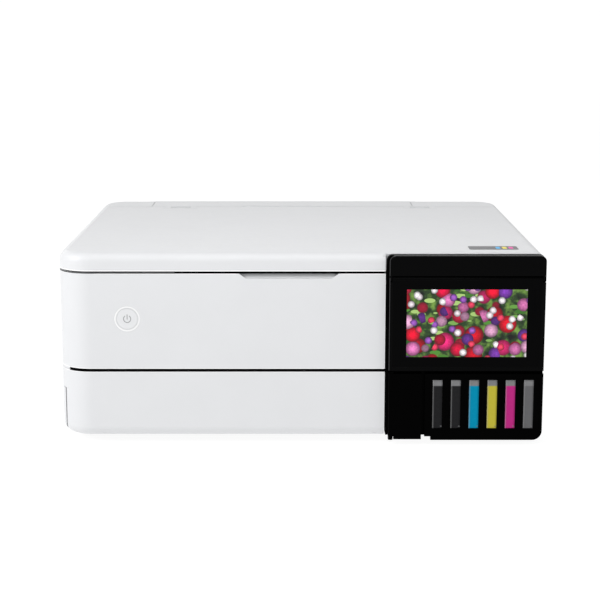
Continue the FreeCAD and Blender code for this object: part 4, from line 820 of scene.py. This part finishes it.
@dataclass
class FrontTrim:
    """White front: power sign, rings round the button, seams with painted shade in them and bright beads
    of painted highlight along them.
    """

    left: float = -201.5
    right: float = 70.2
    front: float = -167.3
    corner: float = 27.0
    corner_step: int = 5
    button: Pair = (-143.3, 106.9)
    sign_radius: float = 3.0
    sign_line: float = 0.62
    sign_turn: Pair = (124, 416)
    sign_bar: Pair = (-0.5, 3.8)
    sign_corner: float = 0.279
    sign_depth: Pair = (-0.08, 0.2)
    rim: Points = ((8.55, 0.1), (8.7, -0.08), (9.4, -0.08), (9.4, 0.1))
    ring: Points = ((9.35, 0.1), (9.45, -0.12), (10.0, -0.18), (10.5, -0.12), (10.65, 0.1))
    ring_steps: int = 64
    # Dark strip in the front seam and a dark line below it: painted shade.
    front_shade_strips: tuple[Strip, ...] = (
        Strip("front_seam_shade", "base", (left, right), (62.72, 64.55), 0.03, 2.2, 227),
        Strip("cover_seam_shade_line", "front_cover", (left, right), (62.05, 62.69), 0.05, 0.06, 227, 0.0),
    )
    # Dark strip in the lid seam and a dark line below it: painted shade.
    lid_shade_strips: tuple[Strip, ...] = (
        Strip("lid_seam_shade", "lid", (-103.5, right), (145.53, 146.8), 0.03, 1.8),
        Strip("lid_seam_shade_line", "lid", (left, right), (144.95, 145.6), 0.05, 0.05, bevel=0.0),
    )
    stop_depth: Pair = (-2.2, 0.03)
    stop_turn: Pair = (190, 228)
    stop_z: Pair = (62.76, 64.85)
    stop_steps: int = 8
    # Bright beads on the seam edges: painted highlight of rounded edges.
    beads: tuple[Strip, ...] = (
        Strip("cover_top_highlight", "front_cover", (left, right), (61.6, 62.03)),
        Strip("panel_low_highlight", "base", (left, right), (64.5, 65.05)),
        Strip("panel_left_highlight", "base", (-170.0, -53.0), (144.5, 144.93)),
        Strip("panel_right_highlight", "base", (34.0, right), (144.5, 144.93)),
        Strip("lid_low_highlight", "lid", (left, right), (146.75, 147.55)),
    )
    end_x: Pair = (right - 0.4, right + 0.06)
    end_y: Pair = (front - 0.04, front + 0.5)
    # Bright strips at the right end of the panel and the cover: painted highlight of the rounded edge.
    panel_end: Slab = Slab(end_x, end_y, (65.4, 144.4), 0.2, Axis.Y)
    cover_end: Slab = Slab(end_x, end_y, (8.0, 62.0), 0.2, Axis.Y)

    def build(self) -> None:
        """Make all its pieces."""
        self.power_sign()
        self.button_rings()
        self.seam_shading()
        self.bead_highlights()

    @property
    def corner_middle(self) -> Pair:
        """Centre of the round front left corner in plan."""
        return (self.left + self.corner, self.front + self.corner)

    def power_sign(self) -> None:
        """Broken ring with a bar, on the button's face."""
        half = self.sign_line / 2
        depth = shifted(self.sign_depth, self.front)
        ring = arc_band(self.button, (self.sign_radius - half, self.sign_radius + half), self.sign_turn)
        across, up = shifted((-half, half), self.button[0]), shifted(self.sign_bar, self.button[1])
        bar = round_rect(across, up, self.sign_corner, steps=4)
        forms = [Prism(ring, depth, Axis.Y), Prism(bar, depth, Axis.Y)]
        piece("power_sign", forms, SIGN, "power_button", bevel=0.04)

    def button_rings(self) -> None:
        """Rim round the button and the bright ring outside it, over the gaps there; the ring's brightness
        is a painted highlight.
        """
        rings = (("button_rim", self.rim, BUTTON), ("button_ring_trim", self.ring, RING_HIGHLIGHT))
        for name, profile, finish in rings:
            turned = [(radius, self.front + rise) for radius, rise in profile]
            form = Lathe(turned, self.button, Axis.Y, self.ring_steps, capped=False)
            piece(name, [form], finish, "base")

    def band(self, strip: Strip) -> Prism:
        """The form of a strip.

        Args:
            strip: The strip.

        Returns:
            Its outline in plan, between its heights.
        """
        u, v = self.corner_middle
        outer = self.corner + strip.proud
        rows: list[Outline] = []
        for radius in (outer, outer - strip.depth):
            row: Outline = []
            if strip.x[0] < u:
                for degrees in range(strip.turn, 270, self.corner_step):
                    angle = math.radians(degrees)
                    row.append((u + radius * math.cos(angle), v + radius * math.sin(angle)))
            row.append((max(strip.x[0], u), v - radius))
            row.append((strip.x[1], v - radius))
            rows.append(row)
        return Prism(rows[0] + rows[1][::-1], strip.z)

    def lay(self, strips: Sequence[Strip], finish: Finish) -> None:
        """Make a piece of each strip."""
        for strip in strips:
            piece(strip.name, [self.band(strip)], finish, strip.body, strip.bevel)

    def seam_shading(self) -> None:
        """Painted shade in the two front gaps as dark strips, painted shade lines on the edges below them,
        and a white stop.
        """
        self.lay(self.front_shade_strips, SEAM_SHADE)
        radii = shifted(self.stop_depth, self.corner)
        stop = arc_band(self.corner_middle, radii, self.stop_turn, self.stop_steps)
        piece("front_seam_stop", [Prism(stop, self.stop_z)], WHITE, "base", bevel=0.1)
        self.lay(self.lid_shade_strips, SEAM_SHADE)

    def bead_highlights(self) -> None:
        """Fine bright beads of painted highlight along the front seams and at the white front's right end.
        """
        self.lay(self.beads, HIGHLIGHT_WHITE)
        piece("panel_end_highlight", [self.panel_end], HIGHLIGHT_WHITE, "base", bevel=0.1)
        piece("cover_end_highlight", [self.cover_end], HIGHLIGHT_WHITE, "front_cover", bevel=0.1)


@dataclass
class Case:
    """White case: hinge plates, lip in the front cover's notch, back vents and screws with painted shade
    in their openings and slots, foot collars.

    The cover of an ear, a hinge's plate and a screw's slots are given as at X = 0.
    """

    top: float = 162.0
    back: float = 173.5
    hinges: Pair = (-120.0, 120.0)
    ears: Pair = (-12.75, 12.75)
    ear: Slab = Slab((-3.05, 3.05), (116.8, 125.5), (top - 0.15, top + 0.06), 0.6)
    plate: Slab = Slab((-17.2, 17.2), (112.4, 116.3), (top - 0.05, top + 0.12), 1.0)
    lip: Slab = Slab((-197.3, -196.6), (-155.2, -152.6), (14.0, 45.0), 0.3, Axis.Y)
    # Dark plate in place of a vent slot: painted shade of the opening.
    vent: Slab = Slab((-70.0, -67.4), (back - 0.3, back + 0.06), (70.0, 83.0), 1.3, Axis.Y)
    vent_pitch: float = 6.5
    vent_columns: int = 22
    vent_rows: Pair = (0.0, 18.0)
    screws: Points = ((-170.0, 112.0), (170.0, 112.0), (-170.0, 60.0), (170.0, 60.0))
    screw_head: Points = ((3.4, -0.6), (3.4, -0.1), (2.8, 0.12), (1.2, 0.18))
    # Dark cross strips on the steel heads: painted shade of the recessed slots.
    screw_slots: tuple[Slab, ...] = (
        Slab((-1.7, 1.7), (back, back + 0.22), (-0.35, 0.35), 0.2, Axis.Y),
        Slab((-0.35, 0.35), (back, back + 0.23), (-1.7, 1.7), 0.2, Axis.Y),
    )
    feet_x: Pair = (-165.0, 165.0)
    feet_y: Pair = (-110.0, 140.0)
    collar: Points = ((9.35, 0.6), (9.5, 1.2), (9.5, 3.2), (9.2, 4.0))

    def build(self) -> None:
        """Make all its pieces."""
        self.hinge_plates()
        piece("cover_notch_lip", [self.lip], LIP, "front_cover", bevel=0.05)
        self.vents()
        self.back_screws()
        self.foot_collars()

    def hinge_plates(self) -> None:
        """Thin white plates over the lid's two hinge notches, and over the fixed ears in them."""
        for index, middle in enumerate(self.hinges, 1):
            plate = self.plate.moved(middle)
            piece(f"hinge_plate_{index}", [plate], WHITE, "lid", bevel=0.06)
        covers = [self.ear.moved(middle + ear) for middle in self.hinges for ear in self.ears]
        piece("hinge_covers", covers, WHITE, "base", bevel=0.04)

    def vents(self) -> None:
        """Two rows of dark plates on the back wall, painted shade standing in for vent slots."""
        slots = [self.vent.moved(column * self.vent_pitch, z=row)
                 for column in range(self.vent_columns) for row in self.vent_rows]
        piece("back_vent_shade", slots, SATIN, "base", bevel=0.1)

    def back_screws(self) -> None:
        """Cross-head screws in the back wall, with dark cross strips on their heads as painted shade of
        the slots.
        """
        head = [(radius, self.back + rise) for radius, rise in self.screw_head]
        heads = [Lathe(head, place, Axis.Y) for place in self.screws]
        slots = [slot.moved(x, z=z) for x, z in self.screws for slot in self.screw_slots]
        piece("back_screw_heads", heads, GROUND, "base")
        piece("back_screw_slot_shade", slots, SATIN, "base")

    def foot_collars(self) -> None:
        """A collar round each foot."""
        collars = [Lathe(self.collar, (x, y)) for x in self.feet_x for y in self.feet_y]
        piece("foot_collars", collars, RUBBER, "base")


@dataclass
class Tower:
    """Control tower: fine edge lines of its panel and strip as painted highlight, level ticks in the ink
    windows that also serve as painted highlight.

    The tick is given as at a window at X = 0.
    """

    left: float = 73.0
    front: float = -173.5
    top: float = 160.7
    bend: float = 4.7
    line_x: Pair = (left + 0.15, left + 0.6)
    line_y: Pair = (front - 0.06, front + 0.3)
    panel_highlight_line: Slab = Slab(line_x, line_y, (64.6, 142.6), 0.2, Axis.Y)
    strip_highlight_line: Slab = Slab(line_x, line_y, (143.9, top - bend), 0.2, Axis.Y)
    bend_middle: Pair = (left + bend, top - bend)
    bend_radii: Pair = (bend - 0.6, bend - 0.15)
    bend_turn: Pair = (90, 180)
    # Grey tick at each window's right foot: a level mark and a painted highlight.
    tick: Slab = Slab((2.3, 3.9), (-172.85, -172.5), (16.4, 17.0), 0.25, Axis.Y)

    def build(self) -> None:
        """Make all its pieces."""
        self.edge_highlights()
        self.level_tick_highlights()

    def edge_highlights(self) -> None:
        """Grey lines of painted highlight along the left edges of the panel and of the strip over it, and
        round its corner.
        """
        piece("panel_edge_highlight", [self.panel_highlight_line], GLINT, "control_panel")
        bend = arc_band(self.bend_middle, self.bend_radii, self.bend_turn)
        forms = [self.strip_highlight_line, Prism(bend, self.line_y, Axis.Y)]
        piece("strip_edge_highlight", forms, GLINT, "base")

    def level_tick_highlights(self) -> None:
        """A short grey mark near the right foot of each ink window: a level mark that also stands for a
        small painted highlight there.
        """
        ticks = [self.tick.moved(TANK_MIDDLE + TANK_PITCH * index) for index in range(len(INKS))]
        piece("level_tick_highlights", ticks, GREY, "base")


@dataclass
class ScannerLid:
    """Lid and scanner: strip with colour pads, marks on the scanner frame, lines of the sensor bar."""

    top: float = 162.0
    strip: Slab = Slab((141.0, 182.0), (-149.0, -131.0), (top - 0.1, top + 0.12), 2.0)
    pad: Slab = Slab((174.5, 178.1), (-145.0, -135.0), (top, top + 0.2), 1.0)
    pad_pitch: float = 5.4
    mark_z: Pair = (146.2, 146.42)
    arrow: Points = ((-172.5, 115.0), (-167.5, 112.6), (-172.5, 112.6))
    short_tick: Slab = Slab((-166.9, -165.9), (104.0, 104.4), mark_z, 0.15)
    long_tick: Slab = Slab((-166.9, -164.7), (104.0, 104.4), mark_z, 0.15)
    tick_pitch: float = 10.0
    tick_count: int = 21
    long_every: int = 5
    lens: Slab = Slab((-179.0, -177.6), (-104.0, 102.0), (139.8, 140.6), 0.6)
    lamp: Slab = Slab((-176.6, -174.8), (-104.0, 102.0), (139.8, 140.4), 0.8)

    def build(self) -> None:
        """Make all its pieces."""
        self.lid_strip()
        self.frame_marks()
        self.sensor()

    def lid_strip(self) -> None:
        """Plain grey strip with small colour pads near its right end."""
        piece("lid_strip", [self.strip], GREY, "lid", bevel=0.05)
        for index, ink in enumerate(PAD_INKS):
            pad = self.pad.moved(-index * self.pad_pitch)
            piece(f"lid_strip_pad_{index + 1}", [pad], ink, "lid", bevel=0.05)

    def frame_marks(self) -> None:
        """Corner arrow and centimetre ticks on the scanner frame."""
        ticks = []
        for step in range(self.tick_count):
            tick = self.short_tick if step % self.long_every else self.long_tick
            ticks.append(tick.moved(y=-self.tick_pitch * step))
        arrow = Prism(self.arrow, self.mark_z)
        piece("scan_corner_arrow", [arrow], SIGN, "scanner", bevel=0.05)
        piece("scan_ticks", ticks, SIGN, "scanner")

    def sensor(self) -> None:
        """Lens and lamp lines along the sensor bar."""
        piece("sensor_lens", [self.lens], TOUCH, "sensor_bar", bevel=0.1)
        piece("sensor_lamp", [self.lamp], TRIM, "sensor_bar", bevel=0.1)


@dataclass(frozen=True)
class Guides:
    """Paper guides of one cassette.

    A side guide and its foot are given as at X = 0; the end stop stands on its heel.
    """

    body: str
    side: Slab
    foot: Slab
    stop: Slab
    heel: Slab


@dataclass
class PaperPath:
    """Trays and cassettes: paper guides and ribs."""

    sides: Pair = (-152.0, 42.0)
    cassettes: tuple[Guides, ...] = (
        Guides("main_cassette",
               Slab((0.0, 2.0), (-60.0, 60.0), (15.0, 29.0), 2.0, Axis.X),
               Slab((-2.0, 10.0), (-50.0, 50.0), (15.0, 16.2), 2.0),
               Slab((-90.0, -20.0), (112.0, 114.5), (15.0, 29.0), 2.0, Axis.Y),
               Slab((-75.0, -35.0), (90.0, 115.0), (15.0, 16.2), 2.0)),
        Guides("photo_cassette",
               Slab((0.0, 2.0), (-110.0, -40.0), (35.3, 47.3), 2.0, Axis.X),
               Slab((-2.0, 10.0), (-100.0, -50.0), (35.3, 36.5), 2.0),
               Slab((-90.0, -20.0), (12.0, 14.5), (35.3, 47.3), 2.0, Axis.Y),
               Slab((-75.0, -35.0), (-10.0, 15.0), (35.3, 36.5), 2.0)),
    )
    rib: Slab = Slab((-130.0, -127.6), (-128.0, -48.0), (56.8, 57.7), 1.2)
    rib_pitch: float = 24.0
    rib_count: int = 8

    def build(self) -> None:
        """Make all its pieces."""
        self.cassette_guides()
        self.extension_ribs()

    def cassette_guides(self) -> None:
        """Side guides and an end stop in each cassette."""
        for guides in self.cassettes:
            forms = [form.moved(side) for side in self.sides for form in (guides.side, guides.foot)]
            forms += [guides.stop, guides.heel]
            piece(f"{guides.body}_guides", forms, GREY, guides.body, bevel=0.4)

    def extension_ribs(self) -> None:
        """Raised ribs along the top of the tray extension."""
        ribs = [self.rib.moved(index * self.rib_pitch) for index in range(self.rib_count)]
        piece("extension_ribs", ribs, GREY, "tray_extension", bevel=0.3)


@dataclass
class Engine:
    """Print engine: ink dampers on the carriage and pads on the tank caps.

    The damper and its cap are given as at the first ink, the pad as at X = 0.
    """

    damper: Slab = Slab((97.5, 108.1), (-18.0, 36.0), (88.5, 103.0), 1.5)
    damper_cap: Slab = Slab((99.0, 106.6), (10.0, 32.0), (102.6, 104.4), 1.5)
    damper_pitch: float = 12.6
    pad: Slab = Slab((-3.6, 3.6), (-108.0, -94.0), (73.3, 73.8), 1.6)

    def build(self) -> None:
        """Make all its pieces."""
        self.dampers()
        self.cap_inserts()

    def dampers(self) -> None:
        """Six small dampers in the carriage well, each with a cap of its ink's colour."""
        for index, ink in enumerate(INK_CAPS):
            name, along = f"damper_{index + 1}", index * self.damper_pitch
            piece(name, [self.damper.moved(along)], SATIN, "carriage", bevel=0.5)
            piece(f"{name}_cap", [self.damper_cap.moved(along)], ink, "carriage", bevel=0.5)

    def cap_inserts(self) -> None:
        """A pad of each ink's colour on its tank cap."""
        for index, ink in enumerate(INK_CAPS):
            cap, pad = f"tank_cap_{index + 1}", self.pad.moved(TANK_MIDDLE + TANK_PITCH * index)
            piece(f"{cap}_pad", [pad], ink, cap, bevel=0.15)


@dataclass
class Electrics:
    """Sockets in the back and the main board: pins, contacts and board parts."""

    pins: Points = ((-169.6, 35.0), (-162.4, 35.0))
    pin: Points = ((1.2, 162.5), (1.2, 170.6), (0.9, 171.6), (0.3, 172.0))
    pin_steps: int = 20
    tongue: Slab = Slab((101.2, 106.8), (162.4, 171.0), (35.2, 38.8), 0.5, Axis.Y)
    contact: Slab = Slab((102.0, 103.1), (163.5, 170.4), (35.0, 35.3), 0.1, Axis.Y)
    contact_columns: Pair = (0.0, 2.9)
    contact_rows: Pair = (0.0, 3.7)
    spring: Slab = Slab((124.4, 124.9), (162.5, 171.5), (30.6, 31.2), 0.1, Axis.Y)
    spring_pitch: float = 1.27
    spring_count: int = 8
    board: float = 147.9
    cans: tuple[tuple[Pair, float], ...] = (
        ((94.0, 84.0), 4.0), ((104.0, 84.0), 4.0), ((176.0, 70.0), 5.0), ((176.0, 56.0), 5.0))
    can: Points = ((0.0, 0.0), (0.0, -8.6), (-0.5, -9.2), (-1.6, -9.0))
    can_steps: int = 24
    header: Slab = Slab((114.0, 130.0), (board - 5.5, board), (86.0, 91.0), 0.6, Axis.Y)
    header_pitch: float = 19.0
    header_count: int = 3

    def build(self) -> None:
        """Make all its pieces."""
        self.socket_contacts()
        self.board_parts()

    def socket_contacts(self) -> None:
        """Pins of the mains inlet, tongue of the data socket, contacts of both data and network."""
        pins = [Lathe(self.pin, place, Axis.Y, self.pin_steps) for place in self.pins]
        piece("inlet_pins", pins, GROUND, "base")
        piece("data_tongue", [self.tongue], TRIM, "base", bevel=0.2)
        gold = [self.contact.moved(column, z=row)
                for column in self.contact_columns for row in self.contact_rows]
        gold += [self.spring.moved(index * self.spring_pitch) for index in range(self.spring_count)]
        piece("socket_contacts", gold, GOLD, "base")

    def board_parts(self) -> None:
        """Capacitors and plug headers on the main board."""
        cans = []
        for place, radius in self.cans:
            profile = [(radius + wider, self.board + out) for wider, out in self.can]
            cans.append(Lathe(profile, place, Axis.Y, self.can_steps))
        piece("board_capacitors", cans, SATIN, "base")
        headers = [self.header.moved(index * self.header_pitch) for index in range(self.header_count)]
        piece("board_headers", headers, GEAR, "base", bevel=0.3)


@dataclass(frozen=True)
class Softbox:
    """A square light: its place and goal, its side in metres and its power in watts."""

    name: str
    place: Place
    goal: Place
    size: float
    power: float


@dataclass
class Studio:
    """Floor, lights, world and camera."""

    camera_place: Place = (-0.0003, -1.4052, 0.36236)
    pitch: float = 10.95
    lens: float = 91.68
    sensor: float = 36.0
    sight: float = 200.0
    surroundings: float = 0.45
    softboxes: tuple[Softbox, ...] = (
        Softbox("key_softbox", (-1.95, -1.15, 1.3), (0.0, 0.0, 0.08), 1.2, 33.0),
        Softbox("top_softbox", (0.0, -0.45, 0.9), (0.0, -0.12, 0.16), 0.5, 2.4),
        Softbox("front_softbox", (-0.3, -1.15, 1.15), (0.0, -0.15, 0.15), 0.6, 1.3),
    )
    floor_half: float = 9.0
    floor_back: float = 6.0
    bend: float = 2.0
    bend_steps: int = 12
    wall_top: float = 6.0

    def build(self) -> None:
        """Make the studio."""
        self.floor()
        self.world()
        for softbox in self.softboxes:
            self.light(softbox)
        self.camera()

    def floor(self) -> None:
        """Wide pale floor that sweeps up far behind the object."""
        made = bmesh.new()
        sweep = [(-self.floor_half, 0.0), (self.floor_back, 0.0)]
        for step in range(1, self.bend_steps + 1):
            turn = math.pi / 2 * step / self.bend_steps
            sweep.append((self.floor_back + self.bend * math.sin(turn),
                          self.bend - self.bend * math.cos(turn)))
        sweep.append((self.floor_back + self.bend, self.wall_top))
        sides = (-self.floor_half, self.floor_half)
        rows = [[made.verts.new((side, y, z)) for side in sides] for y, z in sweep]
        for near, far in zip(rows, rows[1:]):
            made.faces.new((near[0], near[1], far[1], far[0]))
        data = bpy.data.meshes.new("floor")
        made.to_mesh(data)
        made.free()
        data.materials.append(FLOOR.material())
        thing = bpy.data.objects.new("floor", data)
        bpy.context.scene.collection.objects.link(thing)

    def world(self) -> None:
        """Even pale surroundings."""
        world = bpy.data.worlds.new("studio")
        world.use_nodes = True
        ground = world.node_tree.nodes["Background"]
        ground.inputs["Color"].default_value = (1.0, 1.0, 1.0, 1.0)
        ground.inputs["Strength"].default_value = self.surroundings
        bpy.context.scene.world = world
        bpy.context.scene.view_settings.view_transform = "Standard"

    def light(self, softbox: Softbox) -> None:
        """Add a light.

        Args:
            softbox: What it is like.
        """
        data = bpy.data.lights.new(softbox.name, "AREA")
        data.size = softbox.size
        data.energy = softbox.power
        lamp = bpy.data.objects.new(softbox.name, data)
        lamp.location = softbox.place
        sight = Vector(softbox.goal) - Vector(softbox.place)
        lamp.rotation_euler = sight.to_track_quat("-Z", "Y").to_euler()
        bpy.context.scene.collection.objects.link(lamp)

    def camera(self) -> None:
        """Camera at the photograph's viewing angle."""
        data = bpy.data.cameras.new("camera")
        data.sensor_width = self.sensor
        data.lens = self.lens
        data.clip_end = self.sight
        eye = bpy.data.objects.new("camera", data)
        eye.location = self.camera_place
        eye.rotation_euler = (math.radians(90.0 - self.pitch), 0.0, 0.0)
        bpy.context.scene.collection.objects.link(eye)
        bpy.context.scene.camera = eye


def main() -> None:
    """Build the studio, dress the solids and build every sub-assembly."""
    logging.basicConfig(level=logging.INFO, format="%(message)s")
    Studio().build()
    dress_nodes()
    for assembly in (FrontTrim(), Case(), Tower(), ScannerLid(), PaperPath(), Engine(), Electrics()):
        assembly.build()
        LOG.info("%s is built", type(assembly).__name__)


if __name__ == "__main__":
    main()
